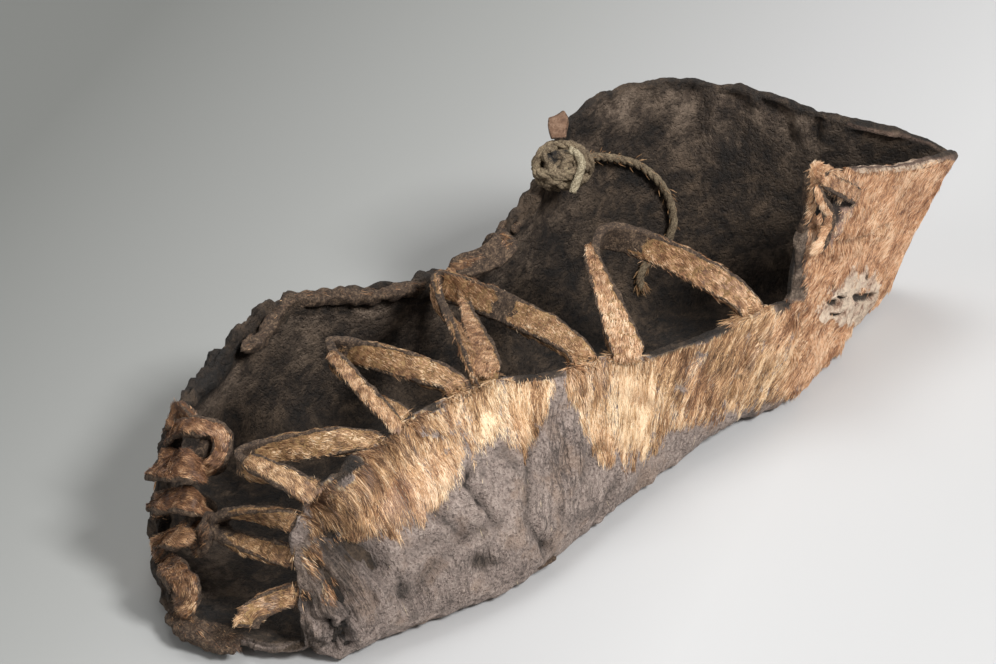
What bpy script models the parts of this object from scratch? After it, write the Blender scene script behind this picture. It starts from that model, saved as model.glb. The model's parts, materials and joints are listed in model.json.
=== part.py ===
"""An ancient shoe of hair-on hide, worn and slack, standing empty on its sole.

One piece of hide makes the sole, the vamp and both quarters, and it is closed at the heel. Straps slit from
its own edge stand up as lacing loops, and a plant-fibre drawstring is knotted to a tab at the far quarter.

Toe along -X, the near side along -Y, +Z up, origin on the floor under the middle of the sole.
"""
from collections import namedtuple
from math import ceil, cos, pi, radians, sin

import bmesh
import bpy
from mathutils import Vector

# Driving sizes, in metres
SOLE_LENGTH = 0.200
BALL_WIDTH = 0.080
COLLAR_HEIGHT = 0.060
HIDE = 0.002
FLOOR_TURN = 0.006
ARCH_RISE = 0.0018
TOE_SPRING = 0.0018
STRAP_WIDTH = 0.0068
STRAP_THICKNESS = 0.002
STRAP_ROOT = 0.0006
SEAT_GAP = 0.0003
SEAT_TILT = 0.0003
CORD_DIAMETER = 0.0021
KNOT_WIDTH = 0.0130
KNOT_DEPTH = 0.0100
KNOT_HEIGHT = 0.0110
KNOT_GROOVE = 0.0008

# Where the flat underside lifts, as shares of the sole's length from the heel
ARCH_FROM, ARCH_TO = 0.26, 0.45
SPRING_FROM = 0.92

# How the wall swells past its widest line and leans in above it. A wall lower than LOW_WALL runs straight, and
# one that is higher by FULL_BOW bows fully.
EDGE_SWELL = 0.8
SWELL_HEIGHT = 0.04
LEAN_START = 0.15
HEEL_LEAN = 0.55
HEEL_LEAN_TO = 0.16
LEAN_HEIGHT = 0.62
LOW_WALL = 2.0 * HIDE
FULL_BOW = 6.0 * HIDE

# How a strap leaves the rim: the length of rim that gives its line, in stations, the share of the wall that
# gives its way out, and the rows over which it bends from the rim's line to its own
RIM_REACH = 0.02
RIM_DEPTH = 0.1
SEAT_ROWS = 4.0
TURN_POWER = 1.5
FREE_PULL = 0.35

# Mesh fineness
WALL_ROWS = 8
SOLE_ROWS = 8
COLUMN_STEP = 0.032
END_COLUMNS = 3
STRAP_ROWS = 9
ROUTE_PARTS = 12
WELD = 0.00002

# The hide's outline, heel to toe. Columns: forward and side of the widest line near the floor, then forward,
# side and height of the rim. Forward is a share of SOLE_LENGTH from the heel, side a share of BALL_WIDTH
# from the middle, and height a share of COLLAR_HEIGHT.
FORWARD, SIDE, RIM_FORWARD, RIM_SIDE, RIM_HEIGHT = range(5)
HEEL = (-0.012, 0.012, -0.057, -0.194, 0.633)
NEAR = [
    (0.010, -0.100, -0.036, -0.256, 0.670),
    (0.060, -0.150, 0.040, -0.275, 0.733),
    (0.120, -0.225, 0.110, -0.294, 0.817),
    (0.155, -0.269, 0.150, -0.306, 0.875),
    (0.180, -0.288, 0.178, -0.312, 0.790),
    (0.205, -0.306, 0.198, -0.312, 0.715),
    (0.230, -0.325, 0.234, -0.312, 0.705),
    (0.245, -0.325, 0.241, -0.312, 0.560),
    (0.262, -0.331, 0.252, -0.319, 0.450),
    (0.310, -0.325, 0.300, -0.312, 0.467),
    (0.435, -0.352, 0.440, -0.300, 0.500),
    (0.515, -0.390, 0.525, -0.275, 0.567),
    (0.595, -0.436, 0.600, -0.250, 0.608),
    (0.680, -0.494, 0.680, -0.219, 0.667),
    (0.755, -0.512, 0.755, -0.212, 0.658),
    (0.825, -0.475, 0.825, -0.238, 0.617),
    (0.880, -0.450, 0.885, -0.244, 0.600),
    (0.920, -0.431, 0.930, -0.256, 0.560),
    (0.940, -0.419, 0.955, -0.275, 0.400),
    (0.953, -0.394, 0.959, -0.319, 0.190),
    (0.963, -0.350, 0.962, -0.338, 0.070),
    (0.988, -0.262, 0.992, -0.256, 0.045),
]
TOE = (1.022, 0.0, 1.028, 0.0, 0.052)
FAR = [
    (0.010, 0.098, -0.040, -0.131, 0.690),
    (0.035, 0.145, 0.008, -0.100, 0.775),
    (0.060, 0.181, 0.030, -0.075, 0.808),
    (0.100, 0.231, 0.065, 0.012, 0.858),
    (0.135, 0.275, 0.085, 0.125, 0.883),
    (0.170, 0.306, 0.105, 0.225, 0.900),
    (0.218, 0.344, 0.150, 0.344, 0.933),
    (0.275, 0.381, 0.230, 0.400, 1.000),
    (0.320, 0.400, 0.290, 0.400, 1.017),
    (0.345, 0.412, 0.328, 0.400, 0.975),
    (0.365, 0.419, 0.348, 0.394, 0.833),
    (0.395, 0.425, 0.385, 0.388, 0.717),
    (0.420, 0.438, 0.420, 0.388, 0.650),
    (0.455, 0.450, 0.450, 0.388, 0.590),
    (0.515, 0.469, 0.520, 0.400, 0.525),
    (0.595, 0.506, 0.590, 0.475, 0.550),
    (0.680, 0.550, 0.685, 0.544, 0.592),
    (0.755, 0.556, 0.755, 0.525, 0.567),
    (0.825, 0.538, 0.825, 0.488, 0.517),
    (0.880, 0.462, 0.885, 0.406, 0.550),
    (0.940, 0.352, 0.940, 0.325, 0.450),
    (0.980, 0.230, 0.988, 0.219, 0.200),
]

# Loops slit from the rim. Columns: node, side, where each leg leaves the rim, place of the tip (forward, side
# and height), width as a share of STRAP_WIDTH, breadth of the tip in strap widths, turn of the strap at the
# tip in degrees, and how far a leg runs on out of the wall, as a share of its reach.
LOOPS = [
    ("near_loop_2", "near", 0.9405, 0.9300, 0.965, 0.012, 0.367, 0.70, 0.9, 88, 0.35),
    ("near_loop_3", "near", 0.9070, 0.8220, 0.935, -0.012, 0.600, 0.90, 0.9, 88, 0.35),
    ("near_loop_4", "near", 0.7780, 0.7000, 0.760, 0.138, 0.717, 0.90, 0.6, 88, 0.35),
    ("near_loop_5", "near", 0.6620, 0.5300, 0.545, 0.325, 0.585, 1.00, 0.9, 85, 0.35),
    ("near_loop_6", "near", 0.4800, 0.3150, 0.402, 0.035, 0.755, 1.00, 1.7, 80, 0.35),
    ("collar_loop", "near", 0.2180, 0.1700, 0.213, -0.331, 0.967, 0.75, 0.6, 88, 0.35),
    ("toe_loop_1", "far", 0.9120, 0.9480, 0.915, 0.181, 0.510, 0.90, 0.9, 88, 0.9),
    ("toe_loop_2", "far", 0.9650, 0.9870, 0.947, 0.106, 0.360, 0.80, 0.7, 88, 0.9),
    ("far_loop", "far", 0.5100, 0.4480, 0.468, 0.288, 0.640, 0.90, 1.2, 65, 0.9),
]

# Straps with one free end. Columns: node, side, where it leaves the rim, place of its end, the direction in
# which it ends (forward, side and height), and width as a share of STRAP_WIDTH.
FREE_STRAPS = [
    ("near_loop_1", "near", 0.9490, 1.018, -0.262, 0.190, (0.1, -0.4, -1.0), 0.75),
]

# The tab at the far quarter's front corner: where it leaves the rim, its width at the seat, the middle and the
# knot as shares of STRAP_WIDTH, its gaps to the rim and the knot, and how far it runs on out of the wall
TAB_SEAT = 0.3465
TAB_WIDTHS = (0.26, 0.70, 0.50)
TAB_GAP = 0.0005
TAB_PULL = 0.8
KNOT_GAP = 0.0008

# The knot: its middle, the line of its broad side, the side of it that the tab enters, and its wraps
KNOT_MIDDLE = (0.360, 0.3125, 0.850)
KNOT_BEARING = radians(-41)
KNOT_BROAD = Vector((cos(KNOT_BEARING), sin(KNOT_BEARING), 0.0))
KNOT_TO_TAB = Vector((0.20, 0.40, 0.90)).normalized()
KNOT_BANDS = [Vector((0.9, 0.3, 0.3)), Vector((-0.3, 0.5, 0.8)), Vector((0.2, -0.8, 0.55))]
BAND_HALF = 0.42

# The cord's own route from the knot down the inner face of the far quarter, in metres
CORD_ROUTE = [
    (0.0336, 0.0262, 0.0499),
    (0.0370, 0.0269, 0.0489),
    (0.0404, 0.0276, 0.0476),
    (0.0438, 0.0280, 0.0460),
    (0.0472, 0.0281, 0.0442),
    (0.0506, 0.0279, 0.0423),
    (0.0537, 0.0273, 0.0400),
    (0.0563, 0.0265, 0.0372),
    (0.0584, 0.0256, 0.0340),
    (0.0598, 0.0249, 0.0306),
    (0.0605, 0.0243, 0.0271),
    (0.0605, 0.0241, 0.0237),
    (0.0597, 0.0242, 0.0208),
    (0.0581, 0.0246, 0.0184),
    (0.0559, 0.0251, 0.0168),
    (0.0536, 0.0257, 0.0153),
    (0.0520, 0.0260, 0.0132),
    (0.0514, 0.0260, 0.0109),
    (0.0519, 0.0255, 0.0088),
]

# The cord's section comes every two diameters along its route
CORD_STEP = 2.0 * CORD_DIAMETER

COLOURS = {
    "hide_body": (0.23, 0.18, 0.15),
    "near_loop": (0.34, 0.23, 0.13),
    "toe_loop": (0.24, 0.14, 0.07),
    "far_loop": (0.10, 0.07, 0.05),
    "collar_loop": (0.45, 0.26, 0.15),
    "collar_tab": (0.30, 0.17, 0.11),
    "drawstring": (0.28, 0.23, 0.14),
}


def clear_scene():
    for item in list(bpy.data.objects):
        bpy.data.objects.remove(item, do_unlink=True)


def place(forward, side, height):
    """A point of the shoe from its shares, in metres."""
    return Vector((SOLE_LENGTH * (0.5 - forward), BALL_WIDTH * side, COLLAR_HEIGHT * height))


def material_for(name):
    stem = next(key for key in COLOURS if name.startswith(key))
    material = bpy.data.materials.get(stem) or bpy.data.materials.new(stem)
    material.use_nodes = True
    shader = material.node_tree.nodes["Principled BSDF"]
    shader.inputs["Base Color"].default_value = (*COLOURS[stem], 1.0)
    shader.inputs["Roughness"].default_value = 0.85
    shader.inputs["Metallic"].default_value = 0.0
    return material


def add_object(name, bm):
    mesh = bpy.data.meshes.new(name)
    bm.to_mesh(mesh)
    bm.free()
    mesh.shade_smooth()
    mesh.set_sharp_from_angle(angle=radians(45))
    item = bpy.data.objects.new(name, mesh)
    bpy.context.scene.collection.objects.link(item)
    item.data.materials.append(material_for(name))
    return item


def add_thickness(item, thickness, offset):
    modifier = item.modifiers.new("thickness", "SOLIDIFY")
    modifier.thickness = thickness
    modifier.offset = offset


# The outline runs as one closed loop, from the heel along the near side to the toe and back along the far side
OUTLINE = [HEEL, *NEAR, TOE, *reversed(FAR)]
TOE_STATION = len(NEAR) + 1


def hermite(start, start_pull, end, end_pull, part):
    """A smooth blend between two numbers or points, with the pull at each end; part runs from 0 to 1."""
    square, cube = part * part, part * part * part
    return (start * (2 * cube - 3 * square + 1) + end * (3 * square - 2 * cube)
            + start_pull * (cube - 2 * square + part) + end_pull * (cube - square))


def outline_slope(index, column):
    """Slope at a station that keeps the curve between its neighbours."""
    count = len(OUTLINE)
    before = OUTLINE[index % count][column] - OUTLINE[(index - 1) % count][column]
    after = OUTLINE[(index + 1) % count][column] - OUTLINE[index % count][column]
    if before * after <= 0.0:
        return 0.0
    return 2.0 * before * after / (before + after)


def outline_value(station, column):
    index = int(station // 1)
    part = station - index
    count = len(OUTLINE)
    start, end = OUTLINE[index % count][column], OUTLINE[(index + 1) % count][column]
    return hermite(start, outline_slope(index, column), end, outline_slope(index + 1, column), part)


def station_at(side, forward):
    """The station of one side whose widest line lies this far forward."""
    low = 0.0 if side == "near" else float(len(OUTLINE))
    high = float(TOE_STATION)
    for _ in range(40):
        middle = 0.5 * (low + high)
        if outline_value(middle, FORWARD) < forward:
            low = middle
        else:
            high = middle
    return 0.5 * (low + high)


def lift(forward):
    """Height of the underside: flat at the heel and the forefoot, raised between them and at the toe."""
    if ARCH_FROM < forward < ARCH_TO:
        return ARCH_RISE * sin(pi * (forward - ARCH_FROM) / (ARCH_TO - ARCH_FROM)) ** 2
    if forward > SPRING_FROM:
        return TOE_SPRING * ((forward - SPRING_FROM) / (1.0 - SPRING_FROM)) ** 2
    return 0.0


def ground_point(forward, side):
    """The edge of the flat underside, inside the widest line."""
    ground_forward = 0.5 + (forward - 0.5) * (1.0 - 2.0 * FLOOR_TURN / SOLE_LENGTH)
    ground_side = side * (1.0 - 2.0 * FLOOR_TURN / BALL_WIDTH)
    point = place(ground_forward, ground_side, 0.0)
    point.z = lift(ground_forward)
    return point


def wall_handles(station):
    """The four points of the wall's curve, from the underside to the rim."""
    forward, side, rim_forward, rim_side, rim_height = (
        outline_value(station, column) for column in (FORWARD, SIDE, RIM_FORWARD, RIM_SIDE, RIM_HEIGHT))
    ground = ground_point(forward, side)
    widest = place(forward, side, 0.0)
    rim = place(rim_forward, rim_side, rim_height)
    swell = widest + (widest - ground) * EDGE_SWELL
    swell.z = ground.z + SWELL_HEIGHT * rim.z
    heelward = min(1.0, max(0.0, 1.0 - forward / HEEL_LEAN_TO))
    lean = widest.lerp(rim, LEAN_START + (HEEL_LEAN - LEAN_START) * heelward)
    lean.z = LEAN_HEIGHT * rim.z
    bow = min(1.0, max(0.0, (rim.z - LOW_WALL) / FULL_BOW))
    swell = ground.lerp(rim, 1 / 3).lerp(swell, bow)
    lean = ground.lerp(rim, 2 / 3).lerp(lean, bow)
    return ground, swell, lean, rim


def wall_point(station, rise):
    """A point on the outer face of the wall; rise runs from 0 at the underside to 1 at the rim."""
    ground, swell, lean, rim = wall_handles(station)
    fall = 1.0 - rise
    return (ground * fall ** 3 + swell * (3.0 * fall * fall * rise)
            + lean * (3.0 * fall * rise * rise) + rim * rise ** 3)


def column_places():
    """Forward shares of the hide's columns: each table row, more between them, and close ones at both ends."""
    rows = sorted({HEEL[FORWARD], TOE[FORWARD], *(row[FORWARD] for row in NEAR + FAR)})
    places = []
    for start, end in zip(rows, rows[1:]):
        parts = ceil((end - start) / COLUMN_STEP)
        if start == rows[0]:
            places += [start + (end - start) * (step / END_COLUMNS) ** 2 for step in range(END_COLUMNS)]
        elif end == rows[-1]:
            places += [end - (end - start) * (1 - step / END_COLUMNS) ** 2 for step in range(END_COLUMNS)]
        else:
            places += [start + (end - start) * step / parts for step in range(parts)]
    return places + [rows[-1]]


def hide_section(forward):
    """Points of one column, from the near rim under the foot to the far rim."""
    near, far = station_at("near", forward), station_at("far", forward)
    near_wall = [wall_point(near, 1.0 - row / WALL_ROWS) for row in range(WALL_ROWS + 1)]
    far_wall = [wall_point(far, row / WALL_ROWS) for row in range(WALL_ROWS + 1)]
    sole = []
    for row in range(1, SOLE_ROWS):
        point = near_wall[-1].lerp(far_wall[0], row / SOLE_ROWS)
        point.z = lift(0.5 - point.x / SOLE_LENGTH)
        sole.append(point)
    return near_wall + sole + far_wall


def make_hide():
    sections = [hide_section(forward) for forward in column_places()]
    across, along = len(sections) - 1, len(sections[0]) - 1
    bm = bmesh.new()
    bmesh.ops.create_grid(bm, x_segments=across, y_segments=along, size=1.0)
    for vert in bm.verts:
        column = round((vert.co.x + 1.0) / 2.0 * across)
        row = round((vert.co.y + 1.0) / 2.0 * along)
        vert.co = sections[column][row]
    bmesh.ops.remove_doubles(bm, verts=bm.verts, dist=WELD)
    bmesh.ops.dissolve_degenerate(bm, edges=bm.edges, dist=WELD)
    bmesh.ops.recalc_face_normals(bm, faces=bm.faces)
    lowest = min(bm.faces, key=lambda face: (face.calc_center_median() - Vector((0, 0, -1))).length)
    if lowest.normal.z > 0.0:
        bmesh.ops.reverse_faces(bm, faces=bm.faces)
    add_thickness(add_object("hide_body", bm), HIDE, -1.0)


Seat = namedtuple("Seat", "middle along up low_bend high_bend")


def rim_seat(side, forward, width):
    """Where a strap leaves the rim: its middle, the line along the rim, the way up out of the wall, and how far
    the rim's curve leaves that line at the strap's two edges."""
    station = station_at(side, forward)
    toeward = 1.0 if side == "near" else -1.0
    middle = wall_point(station, 1.0)
    span = wall_point(station + toeward * RIM_REACH, 1.0) - wall_point(station - toeward * RIM_REACH, 1.0)
    along = span.normalized()
    up = middle - wall_point(station, 1.0 - RIM_DEPTH)
    up = (up - along * up.dot(along)).normalized()
    inward = up.cross(along)
    if inward.dot(Vector((0, 0, middle.z)) - middle) < 0.0:
        inward = -inward
    reach = toeward * width * RIM_REACH / span.length
    low_bend = wall_point(station - reach, 1.0) - (middle - along * width / 2)
    high_bend = wall_point(station + reach, 1.0) - (middle + along * width / 2)
    seat = middle + inward * (0.5 * HIDE) + up * (SEAT_GAP + SEAT_TILT)
    return Seat(seat, along, up, up * low_bend.dot(up), up * high_bend.dot(up))


def leg_centres(seat, up, tip, tip_pull, pull):
    """Middle line of one leg, from its seat on the rim to the tip; its root runs straight out of the wall."""
    root = seat + up * STRAP_ROOT
    out = up * (tip - root).length * pull
    return [seat] + [hermite(root, out, tip, tip_pull, row / STRAP_ROWS) for row in range(STRAP_ROWS + 1)]


def strap_object(name, centres, first_seat, last_seat, widths, turns, crossing):
    """A ribbon along a middle line; it turns by the given angles and follows the rim where it is seated."""
    last = len(centres) - 1
    rows = []
    for index, centre in enumerate(centres):
        ahead = centres[min(last, index + 1)] - centres[max(0, index - 1)]
        flat = crossing.cross(ahead).normalized()
        across = (flat * cos(turns[index]) + crossing * sin(turns[index])).normalized()
        low, high = Vector(), Vector()
        for seat, distance in ((first_seat, index), (last_seat, last - index)):
            if seat is None:
                continue
            turned = seat.along.dot(across) < 0.0
            line = -seat.along if turned else seat.along
            share = min(1.0, distance / SEAT_ROWS)
            across = line.lerp(across, share).normalized()
            bends = (seat.high_bend, seat.low_bend) if turned else (seat.low_bend, seat.high_bend)
            low += bends[0] * (1.0 - share) ** 2
            high += bends[1] * (1.0 - share) ** 2
        half = across * widths[index] / 2
        rows.append((centre - half + low, centre, centre + half + high))
    bm = bmesh.new()
    bmesh.ops.create_grid(bm, x_segments=last, y_segments=2, size=1.0)
    for vert in bm.verts:
        vert.co = rows[round((vert.co.x + 1.0) / 2.0 * last)][round(vert.co.y + 1.0)]
    add_thickness(add_object(name, bm), STRAP_THICKNESS, 0.0)


def make_loop(name, side, first, second, tip_forward, tip_side, tip_height, width, breadth, turn, pull):
    first_seat = rim_seat(side, first, STRAP_WIDTH * width)
    second_seat = rim_seat(side, second, STRAP_WIDTH * width)
    tip = place(tip_forward, tip_side, tip_height)
    crossing = (tip - first_seat.middle).cross(second_seat.middle - tip).normalized()
    tip_pull = (second_seat.middle - first_seat.middle).normalized() * STRAP_WIDTH * breadth * 2.0
    first_leg = leg_centres(first_seat.middle, first_seat.up, tip, tip_pull, pull)
    second_leg = leg_centres(second_seat.middle, second_seat.up, tip, -tip_pull, pull)
    centres = first_leg + second_leg[-2::-1]
    last = len(centres) - 1
    turns = [radians(turn) * sin(pi * index / last) ** TURN_POWER for index in range(len(centres))]
    widths = [STRAP_WIDTH * width] * len(centres)
    strap_object(name, centres, first_seat, second_seat, widths, turns, crossing)


def make_free_strap(name, side, seat_forward, end_forward, end_side, end_height, end_way, width):
    seat = rim_seat(side, seat_forward, STRAP_WIDTH * width)
    end = place(end_forward, end_side, end_height)
    forward, sideways, height = end_way
    way = Vector((-forward, sideways, height)).normalized()
    centres = leg_centres(seat.middle, seat.up, end, way * (end - seat.middle).length, FREE_PULL)
    crossing = seat.up.cross(seat.along).normalized()
    turns = [0.0] * len(centres)
    widths = [STRAP_WIDTH * width] * len(centres)
    strap_object(name, centres, seat, None, widths, turns, crossing)


def knot_reach(way):
    """Distance from the knot's middle to its outer shape."""
    deep = Vector((-KNOT_BROAD.y, KNOT_BROAD.x, 0.0))
    parts = (way.dot(KNOT_BROAD) * 2 / KNOT_WIDTH, way.dot(deep) * 2 / KNOT_DEPTH, way.z * 2 / KNOT_HEIGHT)
    return 1.0 / Vector(parts).length


def make_knot():
    """A rounded knot with three wraps of cord standing proud of it."""
    bm = bmesh.new()
    bmesh.ops.create_icosphere(bm, subdivisions=3, radius=1.0)
    middle = place(*KNOT_MIDDLE)
    for vert in bm.verts:
        way = vert.co.normalized()
        wrap = max(1.0 - (way.dot(band.normalized()) / BAND_HALF) ** 2 for band in KNOT_BANDS)
        sunk = KNOT_GROOVE * (1.0 - max(0.0, wrap))
        vert.co = middle + way * (knot_reach(way) - sunk)
    add_object("drawstring_knot", bm)


def make_tab():
    seat = rim_seat("far", TAB_SEAT, STRAP_WIDTH * TAB_WIDTHS[0])
    end = place(*KNOT_MIDDLE) + KNOT_TO_TAB * (knot_reach(KNOT_TO_TAB) + KNOT_GAP)
    end_pull = -KNOT_TO_TAB * (end - seat.middle).length
    centres = leg_centres(seat.middle + seat.up * TAB_GAP, seat.up, end, end_pull, TAB_PULL)
    neck, middle, foot = (STRAP_WIDTH * share for share in TAB_WIDTHS)
    widths = []
    for row in range(len(centres)):
        part = row / (len(centres) - 1)
        swell = sin(pi * part)
        widths.append((neck * (1.0 - part) + foot * part) * (1.0 - swell) + middle * swell)
    strap_object("collar_tab", centres, seat, None, widths, [pi / 2] * len(centres), KNOT_BROAD)


def smooth_route(points, step):
    """Points an even step apart on a smooth curve through the given ones."""
    ends = [points[0] * 2 - points[1], *points, points[-1] * 2 - points[-2]]
    fine = []
    for before, start, end, after in zip(ends, ends[1:], ends[2:], ends[3:]):
        pull, next_pull = (end - before) / 2, (after - start) / 2
        fine += [hermite(start, pull, end, next_pull, part / ROUTE_PARTS) for part in range(ROUTE_PARTS)]
    fine.append(points[-1])
    length = sum((b - a).length for a, b in zip(fine, fine[1:]))
    count = round(length / step)
    route, travelled, wanted = [fine[0]], 0.0, length / count
    for start, end in zip(fine, fine[1:]):
        travelled += (end - start).length
        if travelled >= wanted and len(route) < count:
            route.append(end)
            wanted += length / count
    return [*route, fine[-1]]


def make_cord():
    route = smooth_route([Vector(point) for point in CORD_ROUTE], CORD_STEP)
    curve = bpy.data.curves.new("drawstring", "CURVE")
    curve.dimensions = "3D"
    curve.bevel_depth = CORD_DIAMETER / 2
    curve.bevel_resolution = 2
    curve.use_fill_caps = True
    spline = curve.splines.new("POLY")
    spline.points.add(len(route) - 1)
    for point, place_on_route in zip(spline.points, route):
        point.co = (*place_on_route, 1.0)
    curve.materials.append(material_for("drawstring"))
    bpy.context.scene.collection.objects.link(bpy.data.objects.new("drawstring", curve))


def main():
    clear_scene()
    make_hide()
    for row in LOOPS:
        make_loop(*row)
    for row in FREE_STRAPS:
        make_free_strap(*row)
    make_tab()
    make_knot()
    make_cord()


main()
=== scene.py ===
"""The looks of an ancient shoe of hair-on hide: worn wrinkled hide, lacing loops and a knotted drawstring.

Everything is in metres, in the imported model's frame: toe along -X, the near side along -Y, +Z up. Marks that
show from the near side are placed by their pixel in the photograph, on the hide that lies under that pixel.
"""
import json
from math import cos, pi, radians, sin

import bmesh
import bpy
import numpy as np
from mathutils import Matrix, Vector, kdtree, noise
from mathutils.bvhtree import BVHTree


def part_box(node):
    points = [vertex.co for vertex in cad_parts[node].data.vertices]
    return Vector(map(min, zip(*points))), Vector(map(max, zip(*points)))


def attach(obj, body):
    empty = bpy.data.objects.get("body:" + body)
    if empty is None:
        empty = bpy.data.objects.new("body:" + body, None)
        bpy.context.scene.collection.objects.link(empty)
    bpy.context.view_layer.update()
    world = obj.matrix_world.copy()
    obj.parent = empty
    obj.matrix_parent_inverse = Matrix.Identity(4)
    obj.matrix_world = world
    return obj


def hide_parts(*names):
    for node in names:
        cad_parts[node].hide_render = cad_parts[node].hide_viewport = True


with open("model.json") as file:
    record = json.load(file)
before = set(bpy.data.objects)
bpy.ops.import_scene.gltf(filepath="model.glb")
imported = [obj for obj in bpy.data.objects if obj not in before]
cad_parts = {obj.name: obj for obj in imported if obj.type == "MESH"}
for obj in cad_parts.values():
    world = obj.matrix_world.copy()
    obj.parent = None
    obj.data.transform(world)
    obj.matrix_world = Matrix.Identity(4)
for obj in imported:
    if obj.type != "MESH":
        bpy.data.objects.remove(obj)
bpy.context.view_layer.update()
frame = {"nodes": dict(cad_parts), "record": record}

MM = 0.001
RANDOM = np.random.default_rng(11)

# The camera: its angles, its distance from the point it looks at, and the photograph's pixel of that point
PICTURE_WIDTH = 996
VIEW_ELEVATION = radians(31)
VIEW_AZIMUTH = radians(-41)
VIEW_ROLL = radians(-2)
VIEW_DISTANCE = 1.1
VIEW_TARGET = Vector((0.0, 0.0, 0.025))
TARGET_PIXEL = (548, 352)
CENTRE_PIXEL = (498, 332)
FOCAL_PIXELS = 4994
SENSOR = 36.0
PIXEL = VIEW_DISTANCE / FOCAL_PIXELS

# The drawstring's route in metres, the same as in the model
CORD_ROUTE = [
    (0.0336, 0.0262, 0.0499), (0.0370, 0.0269, 0.0489), (0.0404, 0.0276, 0.0476), (0.0438, 0.0280, 0.0460),
    (0.0472, 0.0281, 0.0442), (0.0506, 0.0279, 0.0423), (0.0537, 0.0273, 0.0400), (0.0563, 0.0265, 0.0372),
    (0.0584, 0.0256, 0.0340), (0.0598, 0.0249, 0.0306), (0.0605, 0.0243, 0.0271), (0.0605, 0.0241, 0.0237),
    (0.0597, 0.0242, 0.0208), (0.0581, 0.0246, 0.0184), (0.0559, 0.0251, 0.0168), (0.0536, 0.0257, 0.0153),
    (0.0520, 0.0260, 0.0132), (0.0514, 0.0260, 0.0109), (0.0519, 0.0255, 0.0088),
]
CORD_DIAMETER = 2.1 * MM
CORD_TWIST = 1.0 / (7 * MM)

# Creases in the near side, with painted shade along them. Columns: width and depth in mm, darkness of the
# painted shade, and the pixels along it.
CREASES = [
    (1.0, 0.9, 0.9, [(468, 474), (465, 485), (475, 497), (487, 510), (494, 518)]),
    (1.6, 0.8, 0.6, [(435, 512), (452, 526), (466, 536), (480, 530), (500, 523)]),
    (2.2, 0.9, 0.5, [(462, 540), (446, 556), (430, 572), (420, 586)]),
    (1.8, 0.6, 0.4, [(408, 558), (424, 547), (438, 541)]),
    (2.2, 0.8, 0.6, [(400, 578), (402, 590), (405, 600)]),
    (1.4, 0.7, 0.6, [(529, 440), (527, 462), (528, 490), (529, 520), (537, 536), (547, 547)]),
    (1.3, 0.5, 0.5, [(617, 482), (608, 498), (602, 512), (595, 522)]),
    (1.4, 0.5, 0.4, [(600, 446), (592, 458), (586, 474)]),
    (1.2, 0.4, 0.5, [(560, 512), (565, 524)]),
    (2.6, 1.6, 0.9, [(300, 488), (316, 500), (326, 518), (336, 534), (350, 543), (368, 552), (380, 566)]),
    (2.4, 1.5, 0.9, [(341, 470), (337, 482), (330, 492)]),
    (1.8, 0.9, 0.6, [(318, 540), (330, 556), (343, 575), (352, 596)]),
    (1.6, 0.8, 0.5, [(330, 575), (342, 592), (356, 612)]),
    (1.4, 0.8, 0.6, [(306, 548), (318, 566), (326, 585), (338, 604)]),
    (1.5, 0.7, 0.5, [(352, 560), (366, 578), (374, 598)]),
    (1.6, 0.6, 0.4, [(378, 560), (388, 574), (394, 590)]),
    (1.8, 1.2, 0.9, [(330, 622), (338, 632), (336, 644)]),
    (1.5, 1.1, 0.9, [(346, 618), (344, 634), (350, 646)]),
    (1.4, 0.5, 0.5, [(700, 352), (690, 368), (684, 384)]),
    (1.6, 0.6, 0.5, [(760, 338), (748, 356), (742, 372)]),
    (1.5, 0.6, 0.5, [(802, 312), (806, 330), (800, 346)]),
    (1.2, 0.7, 0.5, [(826, 240), (840, 240), (866, 236), (884, 226)]),
    (1.0, -0.8, 0.9, [(821, 118), (818, 128), (816, 146)]),
    (2.4, -1.0, 0.3, [(738, 98), (741, 112), (734, 134)]),
    (2.0, -0.9, 0.3, [(692, 92), (700, 110), (695, 140)]),
    (1.8, -0.8, 0.3, [(600, 112), (622, 102), (652, 104)]),
    (1.8, -0.8, 0.3, [(770, 104), (785, 118), (790, 140)]),
]

# Raised and sunk places of the near side. Columns: pixel, radius and height in mm.
SWELLS = [
    (363, 476, 5.0, 1.6),
    (318, 470, 4.0, 0.9),
    (345, 512, 5.0, 0.8),
    (400, 500, 8.0, 0.7),
    (440, 470, 6.0, 0.5),
    (484, 560, 7.0, -0.9),
    (500, 470, 9.0, 0.7),
    (560, 455, 7.0, -0.6),
    (590, 560, 6.0, 0.5),
    (630, 420, 10.0, 0.6),
    (700, 400, 8.0, -0.5),
    (770, 350, 8.0, 0.6),
    (338, 632, 4.0, 0.9),
    (880, 215, 10.0, 0.6),
    (835, 262, 6.0, 0.5),
]

# The lower edge of the near side's hair, as pixels from toe to heel
HAIR_EDGE = [
    (285, 500), (300, 510), (318, 520), (331, 526), (352, 534), (370, 534), (384, 534), (392, 530),
    (411, 514), (431, 503), (447, 480), (457, 471), (461, 444), (466, 446), (471, 462), (476, 440),
    (494, 430), (511, 438), (523, 446), (531, 434), (538, 418), (550, 402), (566, 392), (574, 396),
    (582, 422), (592, 440), (604, 450), (625, 455), (651, 446), (666, 430), (686, 416), (704, 410),
    (724, 408), (748, 396), (772, 392), (792, 392), (808, 388), (960, 388),
]

# Bare places within the hair. Columns: pixel and radii in pixels.
BALD = [
    (428, 432, 18, 8),
    (557, 398, 13, 50),
    (300, 545, 14, 12),
    (850, 300, 24, 22),
    (345, 478, 8, 10),
]

# Tufts of hair on the bare skin. Columns: pixel and radii in pixels.
TUFTS = [
    (312, 556, 9, 16),
    (328, 588, 7, 14),
    (305, 596, 6, 10),
    (318, 524, 10, 12),
]

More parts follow.
